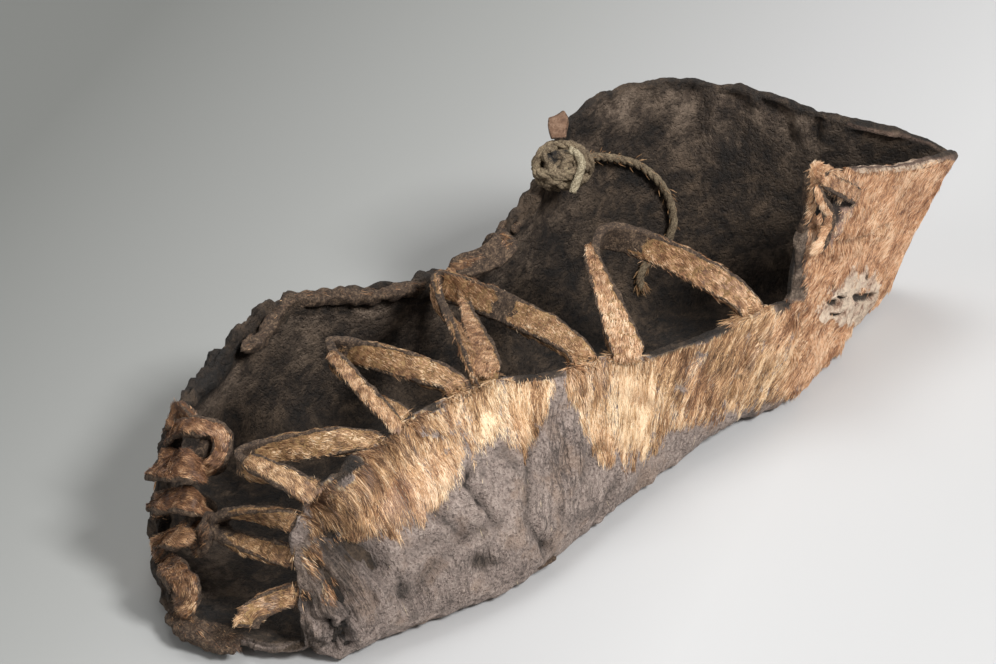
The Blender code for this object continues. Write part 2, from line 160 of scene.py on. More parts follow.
# Brown places of the bare skin. Columns: pixel, radii in pixels and share.
BROWNED = [
    (325, 575, 48, 70, 0.75),
    (486, 562, 28, 16, 0.6),
    (556, 400, 20, 40, 0.4),
    (620, 500, 60, 16, 0.3),
    (760, 400, 60, 20, 0.6),
]

# Pits behind the collar's loop and holes in the heel's crust, sunk and painted near-black as shade. Columns:
# pixel and radii in pixels.
PITS = [
    (828, 196, 13, 8),
    (842, 203, 15, 7),
    (833, 214, 10, 13),
    (828, 229, 6, 11),
    (864, 297, 10, 5),
    (834, 303, 6, 4),
    (841, 297, 6, 2),
    (833, 285, 3, 5),
    (870, 277, 2.5, 3),
    (838, 314, 5, 2),
]

# Deep folds, sunk and painted dark as shade. Columns: pixel, radii in pixels, share of the painted shade,
# which also thins the hair there, and how far they sink in mm.
HOLLOWS = [
    (354, 549, 22, 13, 1.0, 2.0),
    (334, 532, 13, 9, 0.9, 1.6),
    (404, 590, 8, 11, 0.8, 0.9),
    (308, 600, 9, 9, 0.9, 1.0),
    (343, 630, 10, 9, 0.9, 0.6),
    (484, 562, 18, 9, 0.5, 0.8),
    (318, 566, 8, 10, 0.6, 0.8),
    (338, 588, 6, 12, 0.6, 0.8),
    (546, 548, 5, 6, 0.8, 0.6),
]

# Torn peaks of the far rim. Columns: pixel across, reach in pixels and height in mm.
PEAKS = [
    (232, 14, 1.0),
    (264, 7, 1.2),
    (290, 9, 1.4),
    (322, 5, 1.6),
    (352, 10, -0.5),
    (420, 9, 0.6),
]

# Fields of fine wrinkles in the near side, where the grooves are painted darkest as shade. Columns: middle
# pixel, reach across and down in pixels, and share.
WRINKLED = [
    (568, 452, 30, 74, 1.0),
    (542, 530, 14, 40, 0.9),
    (486, 560, 24, 16, 1.0),
    (345, 590, 34, 50, 0.9),
    (322, 540, 22, 40, 0.8),
    (339, 634, 18, 14, 1.0),
    (622, 496, 30, 26, 0.5),
    (428, 596, 50, 18, 0.6),
    (700, 438, 50, 20, 0.4),
    (800, 372, 36, 18, 0.5),
    (820, 290, 18, 30, 0.5),
]

# Bands of hide: those folded in from the far toe's rim, the thick lip at the toe, the far rim's roll, the
# broad hairy faces of some straps, and torn tags. Columns: name, slot, width in mm at the start and the end,
# thickness in mm, shade and warmth of the hair, how much hair, and the pixels along the band with their
# height in mm.
BANDS = [
    # The toe bands' low shades give dark brown hair, partly as painted shade of the toe.
    ("toe_band_1", "dark_strap", 4.4, 4.8, 2.6, 0.16, 0.60, 1.0,
     [(166, 440, 29), (178, 429, 34), (200, 427, 36), (219, 436, 34), (221, 455, 31), (208, 474, 28)]),
    ("toe_band_2", "dark_strap", 8.6, 8.0, 3.0, 0.18, 0.62, 1.0,
     [(157, 468, 27), (166, 466, 31), (184, 465, 34), (204, 470, 31)]),
    ("toe_band_3", "dark_strap", 7.2, 6.6, 2.8, 0.13, 0.52, 1.0,
     [(157, 501, 21), (166, 500, 25), (188, 500, 27), (209, 508, 23)]),
    ("toe_band_4", "dark_strap", 6.4, 5.6, 2.6, 0.24, 0.30, 0.9,
     [(162, 542, 13), (172, 538, 19), (190, 540, 20)]),
    ("toe_band_5", "dark_strap", 4.2, 5.0, 2.2, 0.03, 0.20, 0.10,
     [(214, 512, 24), (207, 532, 21), (194, 554, 15)]),
    ("toe_band_6", "dark_strap", 6.4, 7.0, 3.2, 0.16, 0.28, 0.7,
     [(166, 560, 11), (178, 575, 14), (186, 594, 12), (178, 614, 6)]),
    ("toe_lip", "dark_strap", 5.4, 6.4, 3.2, 0.02, 0.20, 0.05,
     [(170, 610, 4), (190, 628, 5), (214, 638, 4), (242, 646, 4)]),
    ("near_loop_3_face", "hair_on_strap", 4.0, 6.0, 1.5, 0.38, 0.15, 1.0,
     [(244, 459, 39.6), (262, 467, 39.4), (285, 478, 38.8), (312, 493, 36.5)]),
    ("near_loop_4_face", "hair_on_strap", 3.4, 4.6, 1.5, 0.40, 0.40, 1.0,
     [(330, 352, 46), (345, 369, 45.5), (368, 395, 43.5), (400, 428, 39.6)]),
    ("near_loop_5_face", "hair_on_strap", 2.6, 7.2, 1.5, 0.42, 0.60, 1.0,
     [(462, 296, 35.6), (471, 322, 39), (481, 345, 41), (489, 374, 41.6)]),
    ("near_loop_6_face", "hair_on_strap", 2.8, 8.6, 1.5, 0.48, 0.70, 1.0,
     [(588, 244, 46.4), (594, 262, 46.2), (602, 284, 44.4), (612, 310, 41), (624, 340, 36.8),
      (630, 358, 34.5)]),
    ("collar_loop_upper", "tan_strap", 4.4, 3.4, 1.4, 0.54, 0.80, 1.0,
     [(860, 198, 44.5), (848, 191, 49), (835, 185, 54), (822, 180, 57.6)]),
    ("collar_loop_lower", "tan_strap", 2.6, 3.2, 1.2, 0.48, 0.80, 1.0,
     [(816, 184, 57.2), (821, 200, 53.4), (829, 216, 48.2), (825, 234, 43.6), (816, 254, 39.8)]),
    ("far_rim_roll", "dark_strap", 3.4, 3.0, 3.4, 0.02, 0.2, 0.02,
     [(240, 352, 33.6), (262, 337, 33.6), (288, 303, 36.2), (324, 297, 35), (370, 296, 32.6),
      (415, 288, 32.2), (448, 290, 29.8)]),
    ("far_rim_tear", "dark_strap", 2.0, 3.4, 2.2, 0.02, 0.2, 0.02,
     [(498, 236, 36.6), (508, 224, 38.2), (520, 230, 37.2)]),
    ("sole_tag", "dark_strap", 1.4, 1.0, 0.8, 0.02, 0.2, 0.0,
     [(532, 568, 3.4), (544, 564, 3.2), (556, 557, 3.4)]),
]

# The way the hair lies on the near side. Columns: pixel across, then the way across and down the picture.
HAIR_WAYS = [
    (290, 0.80, 0.60),
    (330, 0.60, 0.80),
    (400, 0.38, 0.92),
    (470, 0.16, 0.99),
    (530, 0.06, 1.00),
    (600, 0.02, 1.00),
    (650, -0.25, 0.97),
    (700, -0.50, 0.86),
    (780, -0.62, 0.78),
    (860, -0.45, 0.89),
    (950, -0.55, 0.83),
]

# The pale crust on the heel. Columns: pixel and radii in pixels.
CRUST = [
    (861, 281, 23, 18),
    (842, 309, 30, 19),
    (852, 295, 28, 20),
]

# Shade, warmth and amount of the hair on the straps that differ from the rest
STRAP_HAIR = {
    "collar_loop": (0.50, 0.70, 0.9),
    "far_loop": (0.15, 0.20, 0.15),
    "toe_loop_1": (0.04, 0.40, 0.6),
    "toe_loop_2": (0.06, 0.40, 0.8),
    "near_loop_6": (0.42, 0.65, 1.0),
    "near_loop_5": (0.40, 0.55, 1.0),
    "near_loop_1": (0.24, 0.15, 0.8),
    "near_loop_2": (0.28, 0.10, 1.0),
    "near_loop_3": (0.34, 0.15, 1.0),
}

# Width of a strap's dark border in mm, and how bare it is at its tip
STRAP_EDGES = {
    "collar_loop": (0.40, 0.2),
    "far_loop": (2.20, 1.0),
    "near_loop_1": (0.80, 0.0),
}

# Hair of the hide. Columns: name, how many, length, width and lift in mm, and how much it swirls.
HIDE_HAIR = [
    ("hair_near", 56000, 3.4, 0.120, 0.14, 0.45),
    ("hair_heel", 44000, 2.2, 0.115, 0.12, 1.0),
    ("hair_far", 22000, 3.4, 0.18, 0.16, 0.45),
]

# Lighter and darker stretches of the near hair. Columns: pixel across, reach in pixels, and gain in shade.
SHADED = [
    (485, 28, 0.12),
    (630, 48, 0.12),
    (735, 60, -0.22),
    (536, 8, -0.30),
]

# The long folds at the near toe, as a pixel and radii in pixels, and the middle pixel of its crumpled rosette
TOE_FOLDS = (335, 580, 50, 60)
ROSETTE = (339, 632)

# The knot: half its size right, up and back in mm, its rings as turn, tilt and swell, its core's half size
# in mm, its dark spot as a pixel and radii, its end right and up from the middle and how far in front of
# it, in mm, the thickness of both cords, and how many fibres stand off the drawstring
KNOT_SIZE = (6.0, 4.9, 4.2)
KNOT_RINGS = [
    (0.0, 0.25, 1.0), (1.1, -0.45, 0.95), (2.1, 0.7, 1.0), (0.5, 1.25, 0.90), (2.7, -0.9, 0.96),
    (1.7, 1.0, 0.82), (0.9, -1.3, 1.02),
]
KNOT_CORE = (4.4, 4.4, 4.0)
KNOT_SPOT = (556, 157, 13, 8)
KNOT_END = [(1.5, 3.6), (3.6, 2.2), (4.2, -0.4), (3.2, -3.4), (2.2, -6.0)]
KNOT_END_FRONT = 4.6
KNOT_STRAND = 2.3 * MM
KNOT_END_STRAND = 1.9 * MM
LOOSE_FIBRES = 160

# Length, width and lift in mm of the short hair on straps and bands
SHORT_HAIR = (1.6, 0.12, 0.07)

# Steps along a band between two of its marks, and round it
BAND_STEPS = 8
BAND_SIDES = 16

# The angles from which an edge of the hide or of a strap counts as cut
HIDE_CUT = radians(52)
STRAP_CUT = radians(50)

# The bare strip along the near quarter's front edge, as the pixels over which each of its sides fades
STRIP_LEFT = (770, 776)
STRIP_RIGHT = (-809, -804)
STRIP_FOOT = (-304, -296)

# Soft square lights. Columns: name, way right, up and towards the camera, size in metres, and watts.
LIGHTS = [
    ("key", 0.75, 1.1, 0.85, 0.35, 25.0),
    ("fill", -1.0, 0.8, 0.8, 0.9, 4.5),
    ("top", -0.1, 1.3, -0.4, 0.7, 7.0),
]
WORLD_COLOUR = (1.0, 0.985, 0.965, 1.0)
WORLD_STRENGTH = 0.25
FLOOR_HALF = 3.0

# Colours, as the eye would match them on the real piece, in linear light
GREY_DARK = (0.090, 0.067, 0.055)
BLACK_BROWN = (0.013, 0.010, 0.008)
DEEP_SHADE = (0.034, 0.026, 0.021)
DARK_SPECK = (0.10, 0.075, 0.060)
TAN_STAIN = (0.36, 0.245, 0.175)
WRINKLE_SHADE = (0.042, 0.031, 0.027)
HAIR_COLOURS = [(0.065, 0.030, 0.012), (0.27, 0.140, 0.062), (0.66, 0.41, 0.205), (0.94, 0.75, 0.51)]
WARM_COLOURS = [(0.12, 0.045, 0.020), (0.36, 0.165, 0.075), (0.70, 0.40, 0.215), (0.88, 0.66, 0.45)]

# Colour ramps, as stops of a share and a colour
RAMPS = {
    "grey_skin": [(0.38, GREY_DARK), (0.46, (0.335, 0.257, 0.220)), (0.58, (0.54, 0.43, 0.37))],
    "brown_skin": [(0.38, (0.030, 0.020, 0.014)), (0.47, (0.160, 0.112, 0.083)), (0.59, (0.40, 0.30, 0.235))],
    "red_skin": [(0.36, (0.16, 0.080, 0.050)), (0.47, (0.42, 0.240, 0.165)), (0.60, (0.62, 0.42, 0.32))],
    "under_hair": list(zip((0.36, 0.46, 0.55, 0.66), HAIR_COLOURS)),
    "under_warm_hair": list(zip((0.36, 0.45, 0.54, 0.66), WARM_COLOURS)),
    "inside": [(0.42, BLACK_BROWN), (0.50, (0.040, 0.027, 0.018)), (0.60, (0.125, 0.084, 0.054))],
    "pale_inside_colours": [(0.42, (0.040, 0.026, 0.017)), (0.49, (0.125, 0.086, 0.060)), (0.57, (0.36, 0.27, 0.20))],
    "crust": [(0.35, (0.28, 0.16, 0.10)), (0.43, (0.64, 0.45, 0.33)), (0.52, (0.88, 0.70, 0.53))],
    "pale_rim": [(0.40, (0.26, 0.16, 0.10)), (0.56, (0.70, 0.53, 0.39))],
    "strap_edge": [(0.40, (0.024, 0.014, 0.009)), (0.50, (0.074, 0.046, 0.029)), (0.62, (0.24, 0.16, 0.10))],
    "hair_on_strap": [(0.38, (0.07, 0.040, 0.018)), (0.49, (0.27, 0.150, 0.060)), (0.60, (0.46, 0.29, 0.13))],
    "tan_strap": [(0.38, (0.16, 0.075, 0.035)), (0.49, (0.42, 0.21, 0.10)), (0.60, (0.60, 0.38, 0.21))],
    "dark_strap": [(0.38, (0.025, 0.013, 0.008)), (0.49, (0.16, 0.070, 0.028)), (0.60, (0.32, 0.155, 0.062))],
    "bare_tab": [(0.38, (0.10, 0.050, 0.030)), (0.49, (0.20, 0.110, 0.066)), (0.60, (0.32, 0.20, 0.13))],
    "hair": list(zip((0.0, 0.33, 0.62, 0.95), HAIR_COLOURS)),
    "warm_hair": list(zip((0.0, 0.33, 0.62, 0.95), WARM_COLOURS)),
    "fibre": [(0.40, (0.070, 0.048, 0.028)), (0.50, (0.19, 0.138, 0.085)), (0.62, (0.38, 0.30, 0.19))],
    "pale_fibre": [(0.38, (0.16, 0.12, 0.07)), (0.60, (0.55, 0.47, 0.32))],
    "backdrop": [(0.0, (0.192, 0.197, 0.187)), (0.37, (0.350, 0.355, 0.345)), (0.65, (0.505, 0.505, 0.505)),
                 (0.84, (0.59, 0.59, 0.59)), (1.0, (0.57, 0.57, 0.57))],
}

STRAPS = [name for name in sorted(frame["nodes"]) if "_loop" in name]
SLOTS = {row["node"]: row["material_slot"] for row in frame["record"]["subparts"]}


def view_axes():
    """The camera's own way back, right and up."""
    back = Vector((sin(VIEW_AZIMUTH) * cos(VIEW_ELEVATION), -cos(VIEW_AZIMUTH) * cos(VIEW_ELEVATION),
                   sin(VIEW_ELEVATION)))
    level = Vector((cos(VIEW_AZIMUTH), sin(VIEW_AZIMUTH), 0.0))
    rise = back.cross(level)
    right = level * cos(VIEW_ROLL) + rise * sin(VIEW_ROLL)
    up = rise * cos(VIEW_ROLL) - level * sin(VIEW_ROLL)
    return back, right, up


BACK, RIGHT, UP = view_axes()
EYE = VIEW_TARGET + BACK * VIEW_DISTANCE


def linked(name, data):
    """A new object in the scene."""
    item = bpy.data.objects.new(name, data)
    bpy.context.scene.collection.objects.link(item)
    return item


def make_camera():
    data = bpy.data.cameras.new("camera")
    data.sensor_width = SENSOR
    data.lens = FOCAL_PIXELS / PICTURE_WIDTH * SENSOR
    data.shift_x = (CENTRE_PIXEL[0] - TARGET_PIXEL[0]) / PICTURE_WIDTH
    data.shift_y = (TARGET_PIXEL[1] - CENTRE_PIXEL[1]) / PICTURE_WIDTH
    camera = linked("camera", data)
    turn = Matrix((RIGHT, UP, BACK)).transposed().to_4x4()
    camera.matrix_world = Matrix.Translation(EYE) @ turn
    bpy.context.scene.camera = camera


def pixels_of(points):
    """The photograph's pixel of each point."""
    away = points - np.array(EYE)
    depth = -(away @ np.array(BACK))
    across = TARGET_PIXEL[0] + FOCAL_PIXELS * (away @ np.array(RIGHT)) / depth
    down = TARGET_PIXEL[1] - FOCAL_PIXELS * (away @ np.array(UP)) / depth
    return across, down


def under_pixels(tree, pixels):
    """The points of a surface that show at some pixels of the photograph, without those that miss it."""
    rays = [(RIGHT * (across - TARGET_PIXEL[0]) - UP * (down - TARGET_PIXEL[1])) / FOCAL_PIXELS - BACK
            for across, down in pixels]
    found = [tree.ray_cast(EYE, ray.normalized())[0] for ray in rays]
    return [place for place in found if place is not None]


make_camera()


class Value:
    """A shader socket on which Python's own arithmetic adds Math nodes."""

    def __init__(self, tree, socket):
        self.tree = tree
        self.socket = socket

    def maths(self, operation, first, second):
        node = self.tree.nodes.new("ShaderNodeMath")
        node.operation = operation
        for slot, value in zip(node.inputs, (first, second)):
            if isinstance(value, Value):
                self.tree.links.new(value.socket, slot)
            else:
                slot.default_value = value
        return Value(self.tree, node.outputs[0])

    def __add__(self, other):
        return self.maths("ADD", self, other)

    def __radd__(self, other):
        return self.maths("ADD", other, self)

    def __sub__(self, other):
        return self.maths("SUBTRACT", self, other)

    def __rsub__(self, other):
        return self.maths("SUBTRACT", other, self)

    def __mul__(self, other):
        return self.maths("MULTIPLY", self, other)

    def __rmul__(self, other):
        return self.maths("MULTIPLY", other, self)

    def within(self, low=0.0, high=1.0):
        return self.maths("MINIMUM", self.maths("MAXIMUM", self, low), high)


class Finish:
    """A material in the making."""

    def __init__(self, name):
        self.material = bpy.data.materials.new(name)
        self.material.use_nodes = True
        self.tree = self.material.node_tree
        self.shader = self.tree.nodes["Principled BSDF"]
        self.place = self.node("ShaderNodeTexCoord", output="Object")

    def node(self, kind, settings=None, inputs=None, output=0):
        node = self.tree.nodes.new(kind)
        for name, value in (settings or {}).items():
            setattr(node, name, value)
        for name, value in (inputs or {}).items():
            if isinstance(value, Value):
                self.tree.links.new(value.socket, node.inputs[name])
            else:
                node.inputs[name].default_value = value
        return Value(self.tree, node.outputs[output])

    def noise(self, size, detail=4.0, rough=0.55, stretch=(1, 1, 1), turn=(0, 0, 0), bend=0.0, place=None):
        """Noise with features of a size in metres, stretched along the piece's own axes."""
        inputs = {"Vector": place or self.place, "Scale": stretch, "Rotation": turn}
        where = self.node("ShaderNodeMapping", {}, inputs, "Vector")
        inputs = {"Vector": where, "Scale": 1.0 / size, "Detail": detail, "Roughness": rough,
                  "Distortion": bend}
        return self.node("ShaderNodeTexNoise", {}, inputs, "Fac")

    def painted(self, name):
        return self.node("ShaderNodeAttribute", {"attribute_name": name}, {}, "Fac")

    def ridges(self, size, stretch=(1, 1, 1), turn=(0, 0, 0), place=None):
        """Noise folded at its middle, so that it has sharp crests: 1 on a crest."""
        folded = self.noise(size, 4.0, 0.6, stretch, turn, 0.5, place) - 0.5
        return 1.0 - (7.0 * folded.maths("ABSOLUTE", folded, 0.0)).within()

    def ragged(self, share, breaker, reach=1.6):
        """A soft painted share made crisp, with an edge that follows a noise."""
        return self.between(share + reach * (breaker - 0.5), 0.40, 0.60)

    def ramp(self, share, name):
        """The colour of a ramp at a share."""
        stops = RAMPS[name]
        node = self.tree.nodes.new("ShaderNodeValToRGB")
        elements = node.color_ramp.elements
        while len(elements) < len(stops):
            elements.new(1.0)
        for element, (where, colour) in zip(elements, stops):
            element.position = where
            element.color = (*colour, 1.0)
        self.tree.links.new(share.socket, node.inputs["Fac"])
        return Value(self.tree, node.outputs["Color"])

    def between(self, share, low, high):
        """0 below low and 1 above high, smooth in between."""
        settings = {"interpolation_type": "SMOOTHSTEP"}
        return self.node("ShaderNodeMapRange", settings, {"Value": share, "From Min": low, "From Max": high},
                         "Result")

    def mix(self, share, first, second):
        node = self.tree.nodes.new("ShaderNodeMix")
        node.data_type = "RGBA"
        for slot, value in ((0, share), (6, first), (7, second)):
            if isinstance(value, Value):
                self.tree.links.new(value.socket, node.inputs[slot])
            elif slot == 0:
                node.inputs[slot].default_value = value
            else:
                node.inputs[slot].default_value = (*value, 1.0)
        return Value(self.tree, node.outputs[2])

    def done(self, colour, roughness, relief=None, depth=0.0, sheen=0.0):
        self.tree.links.new(colour.socket, self.shader.inputs["Base Color"])
        if isinstance(roughness, Value):
            self.tree.links.new(roughness.socket, self.shader.inputs["Roughness"])
        else:
            self.shader.inputs["Roughness"].default_value = roughness
        self.shader.inputs["Sheen Weight"].default_value = sheen
        if relief is not None:
            bump = self.node("ShaderNodeBump", {}, {"Height": relief, "Distance": depth, "Strength": 1.0})
            self.tree.links.new(bump.socket, self.shader.inputs["Normal"])
        return self.material


def hide_finish():
    """Grey, brown or reddish skin with wrinkles, the ground under the hair, the crust and the inside, with
    painted shade in grooves, creases, hollows and pits.
    """
    finish = Finish("worn_hide")
    paint, mix, ramp, between, ragged = finish.painted, finish.mix, finish.ramp, finish.between, finish.ragged
    along_hair = finish.node("ShaderNodeCombineXYZ", {}, {"X": paint("strand"), "Y": paint("run")})
    streak = finish.noise(0.55 * MM, 3.0, 0.6, (1.0, 0.10, 1.0), place=along_hair)
    fine = finish.noise(0.5 * MM, 3.0, 0.7)
    grain = finish.noise(1.4 * MM, 5.0, 0.75, bend=0.3)
    broad = finish.noise(12 * MM, 5.0, 0.62)
    speck = finish.noise(0.75 * MM, 2.0, 0.5)
    stain = finish.noise(9 * MM, 4.0, 0.6)
    patch = finish.noise(5 * MM, 5.0, 0.65, bend=0.6)
    furrow = finish.ridges(3.2 * MM, (0.8, 1.0, 0.35), (0.0, 0.4, 0.0))
    wrinkle = finish.ridges(2.2 * MM, (1.0, 0.22, 1.0), (0.0, 0.0, 0.22), along_hair)
    creased = paint("creased")
    bare = 1.0 - paint("hair")

    tone = 0.20 * broad + 0.46 * grain + 0.34 * fine
    skin = mix(between(speck, 0.55, 0.70) * 0.5, ramp(tone, "grey_skin"), DARK_SPECK)
    skin = mix(between(stain, 0.50, 0.64) * 0.5, skin, TAN_STAIN)
    skin = mix(ragged(paint("brown"), broad, 0.8) * 0.8, skin, ramp(tone, "brown_skin"))
    skin = mix(paint("warm") * 0.8, skin, ramp(tone, "red_skin"))
    # Painted shade in the grooves of the fine wrinkles, faint everywhere and strong in the wrinkled fields.
    cut = between(wrinkle + 1.2 * (grain - 0.5), 0.70, 1.0) * (0.12 + 0.88 * creased)
    skin = mix(cut * 0.8, skin, WRINKLE_SHADE)
    # Painted shade in the grooves of the broad furrows.
    skin = mix(between(furrow + 0.8 * (grain - 0.5), 0.86, 1.05) * 0.4, skin, GREY_DARK)

    warm_under = ramp(0.6 * streak + 0.4 * grain, "under_warm_hair")
    under = mix(paint("warm"), ramp(streak, "under_hair"), warm_under)
    colour = mix(ragged(paint("hair"), streak, 2.4), skin, under)
    # Painted shade from the dark paint, in hollows, fold valleys and creases, with the hide's own darker
    # blotches.
    shadow = (paint("dark") * (0.2 + 1.6 * grain)).within()
    colour = mix(shadow * 0.85, colour, DEEP_SHADE)
    depth = 0.25 * grain + 0.40 * patch + 0.35 * broad
    # The inside is paler near the far rim and darker deeper in, and the bare strip at the near quarter's front
    # edge takes the paler colours.
    inner = mix(paint("pale_inside"), ramp(depth, "inside"), ramp(depth, "pale_inside_colours"))
    colour = mix(paint("inside"), colour, inner)
    crust = ramp(finish.noise(3.0 * MM, 6.0, 0.70), "crust")
    colour = mix(ragged(paint("crust"), grain), colour, crust)
    colour = mix(ragged(paint("pale"), grain, 1.0), colour, ramp(grain, "pale_rim"))
    # Near-black painted shade at crease floors, in pits and holes, and in the rosette's crumples.
    black_shaded = between(paint("black_shade") + 0.9 * (grain - 0.5), 0.35, 0.95) * 0.93
    colour = mix(black_shaded, colour, BLACK_BROWN)
    relief = 0.6 * fine + 1.2 * grain - 0.5 * bare * between(speck, 0.5, 0.7) + 0.5 * streak
    relief = relief - bare * (0.4 * furrow + 1.1 * creased * wrinkle)
    return finish.done(colour, 0.62 + 0.3 * fine, relief, 0.9 * MM)


def strap_finish(name):
    """A strap's own skin, under its hair: mottled, with dark cut edges."""
    finish = Finish(name)
    fine = finish.noise(0.45 * MM, 4.0, 0.75)
    grain = finish.noise(1.2 * MM, 5.0, 0.75)
    mottle = finish.noise(4.0 * MM, 4.0, 0.6)
    skin = finish.ramp(0.3 * mottle + 0.5 * grain + 0.2 * fine, name)
    edge = finish.ramp(0.5 * fine + 0.5 * grain, "strap_edge")
    colour = finish.mix(finish.ragged(finish.painted("hair"), grain, 1.2), edge, skin)
    return finish.done(colour, 0.72 + 0.2 * fine, 0.4 * fine + 1.0 * grain, 0.7 * MM)


def hair_finish():
    """Hair, each one with a shade of its own from dark to blond, and a warmth."""
    finish = Finish("hair")
    shade = finish.painted("shade")
    colour = finish.mix(finish.painted("warm"), finish.ramp(shade, "hair"), finish.ramp(shade, "warm_hair"))
    return finish.done(colour, 0.5, sheen=0.1)


def fibre_finish():
    """Plant fibre, pale where it is fresh, near-black where painted dark: a dark spot on the knot, and patches
    of painted shade on the knot's core.
    """
    finish = Finish("plant_fibre")
    fine = finish.noise(0.35 * MM, 5.0, 0.7)
    broad = finish.noise(3.0 * MM, 4.0, 0.6)
    colour = finish.ramp(0.6 * fine + 0.4 * broad, "fibre")
    colour = finish.mix(finish.painted("pale"), colour, finish.ramp(fine, "pale_fibre"))
    colour = finish.mix(finish.ragged(finish.painted("dark"), broad), colour, BLACK_BROWN)
    return finish.done(colour, 0.85, fine + broad, 0.35 * MM)


def stage_finish():
    """A backdrop that brightens from the back left to the front right: painted light falling off across it."""
    finish = Finish("backdrop")
    inputs = {"Vector": finish.place}
    aside, beyond = (finish.node("ShaderNodeSeparateXYZ", {}, inputs, axis) for axis in "XY")
    colour = finish.ramp((0.645 + 1.74 * aside - 3.28 * beyond).within(), "backdrop")
    return finish.done(colour, 0.9)


HIDE_FINISH = hide_finish()
HAIR_FINISH = hair_finish()
FIBRE_FINISH = fibre_finish()
STRAP_SLOTS = ("hair_on_strap", "tan_strap", "dark_strap", "bare_tab")
STRAP_FINISHES = {name: strap_finish(name) for name in STRAP_SLOTS}


def smooth_share(values, low, high):
    part = np.clip((values - low) / (high - low), 0.0, 1.0)
    return part * part * (3.0 - 2.0 * part)


def fading(distance, reach):
    """1 at no distance, fading to 0 beyond the reach."""
    return np.exp(-(distance / reach) ** 2)


def noise_field(points, size, seed, octaves=1):
    """Noise from -1 to 1 at each point, with features of a size in metres."""
    shift = Vector((3.7 * seed, -1.9 * seed, 5.3 * seed))
    if octaves == 1:
        return np.array([noise.noise(Vector(point) / size + shift) for point in points])
    return np.array([noise.fractal(Vector(point) / size + shift, 0.8, 2.0, octaves) for point in points])


def near_line(points, line):
    """Distance of each point from a line through some places."""
    nearest = np.full(len(points), np.inf)
    for start, end in zip(line, line[1:]):
        start, end = np.array(start), np.array(end)
        way = end - start
        part = np.clip((points - start) @ way / max(way @ way, 1e-12), 0.0, 1.0)
        nearest = np.minimum(nearest, np.linalg.norm(points - (start + part[:, None] * way), axis=1))
    return nearest


def merged_copy(node):
    """A model node's mesh as joined quads, ready to be worked on."""
    bm = bmesh.new()
    bm.from_mesh(frame["nodes"][node].data)
    bmesh.ops.remove_doubles(bm, verts=bm.verts, dist=0.001 * MM)
    bmesh.ops.join_triangles(bm, faces=bm.faces, angle_face_threshold=radians(40),
                             angle_shape_threshold=radians(75))
    return bm


def cut_edges(bm, angle):
    return [edge for edge in bm.edges if len(edge.link_faces) == 2 and edge.calc_face_angle() > angle]


def search_tree(places):
    tree = kdtree.KDTree(len(places))
    for index, place in enumerate(places):
        tree.insert(place, index)
    tree.balance()
    return tree


def edge_tree(edges, step):
    """A search tree of places along some edges, with the way of the edge at each."""
    places, ways = [], []
    for edge in edges:
        start, end = edge.verts[0].co, edge.verts[1].co
        count = max(1, int((end - start).length / step))
        for index in range(count + 1):
            places.append(start.lerp(end, index / count))
            ways.append((end - start).normalized())
    return search_tree(places), ways


def refined(name, bm, levels, crease, angle):
    """The mesh with its cut edges held and all else smoothed and split into finer faces."""
    held = bm.edges.layers.float.get("crease_edge") or bm.edges.layers.float.new("crease_edge")
    for edge in cut_edges(bm, angle):
        edge[held] = crease
    mesh = bpy.data.meshes.new(name)
    bm.to_mesh(mesh)
    item = linked(name, mesh)
    modifier = item.modifiers.new("finer", "SUBSURF")
    modifier.levels = modifier.render_levels = levels
    depsgraph = bpy.context.evaluated_depsgraph_get()
    finer = bpy.data.meshes.new_from_object(item.evaluated_get(depsgraph))
    bpy.data.objects.remove(item)
    bpy.data.meshes.remove(mesh)
    result = bmesh.new()
    result.from_mesh(finer)
    bpy.data.meshes.remove(finer)
    return result


def arrays_of(bm):
    """The place and the normal of each vertex."""
    bm.verts.ensure_lookup_table()
    bm.normal_update()
    places = np.array([vert.co for vert in bm.verts])
    normals = np.array([vert.normal for vert in bm.verts])
    return places, normals


def lay_at(bm, places):
    """Moves each vertex to its new place."""
    for vert, place in zip(bm.verts, places):
        vert.co = place


def mesh_places(mesh):
    places = np.empty(len(mesh.vertices) * 3)
    mesh.vertices.foreach_get("co", places)
    return places.reshape(-1, 3)


def paint_on(mesh, paints):
    for paint, values in paints.items():
        attribute = mesh.attributes.new(paint, "FLOAT", "POINT")
        attribute.data.foreach_set("value", np.asarray(values, np.float32).ravel())


def make_piece(name, bm, material, paints):
    """A finished piece that rides on the shoe, with its painted attributes."""
    mesh = bpy.data.meshes.new(name)
    bm.to_mesh(mesh)
    bm.free()
    mesh.shade_smooth()
    paint_on(mesh, paints)
    mesh.materials.append(material)
    item = linked(name, mesh)
    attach(item, "root")
    return item


def hide_axis(places):
    """For each place, the point of the hollow that it faces or backs."""
    along = np.clip(places[:, 0], -0.090, 0.092)
    heel = smooth_share(along, 0.03, 0.09)
    side = -0.004 * heel + 0.004 * (1.0 - heel)
    return np.stack([along, side, 0.016 + 0.008 * heel], axis=1)


def hair_flow(across, down):
    """Which strand of hair passes each pixel, and how far along it the pixel lies, both in metres."""
    table = np.array(HAIR_WAYS)
    slope = np.interp(across, table[:, 0], table[:, 1] / table[:, 2])
    middle = np.interp(across, [300, 560, 950], [520, 420, 200])
    return (across - slope * (down - middle)) * PIXEL, down * PIXEL


def strap_roots(rim_tree):
    """A search tree of the places where the straps leave the rim."""
    return search_tree([vert.co for node in STRAPS for vert in frame["nodes"][node].data.vertices
                        if rim_tree.find(vert.co)[2] < 2.0 * MM])


def ellipse(across, down, x, y, wide, high):
    """The square of a pixel's distance from the middle of an ellipse, which is 1 on its outline."""
    return ((across - x) / wide) ** 2 + ((down - y) / high) ** 2


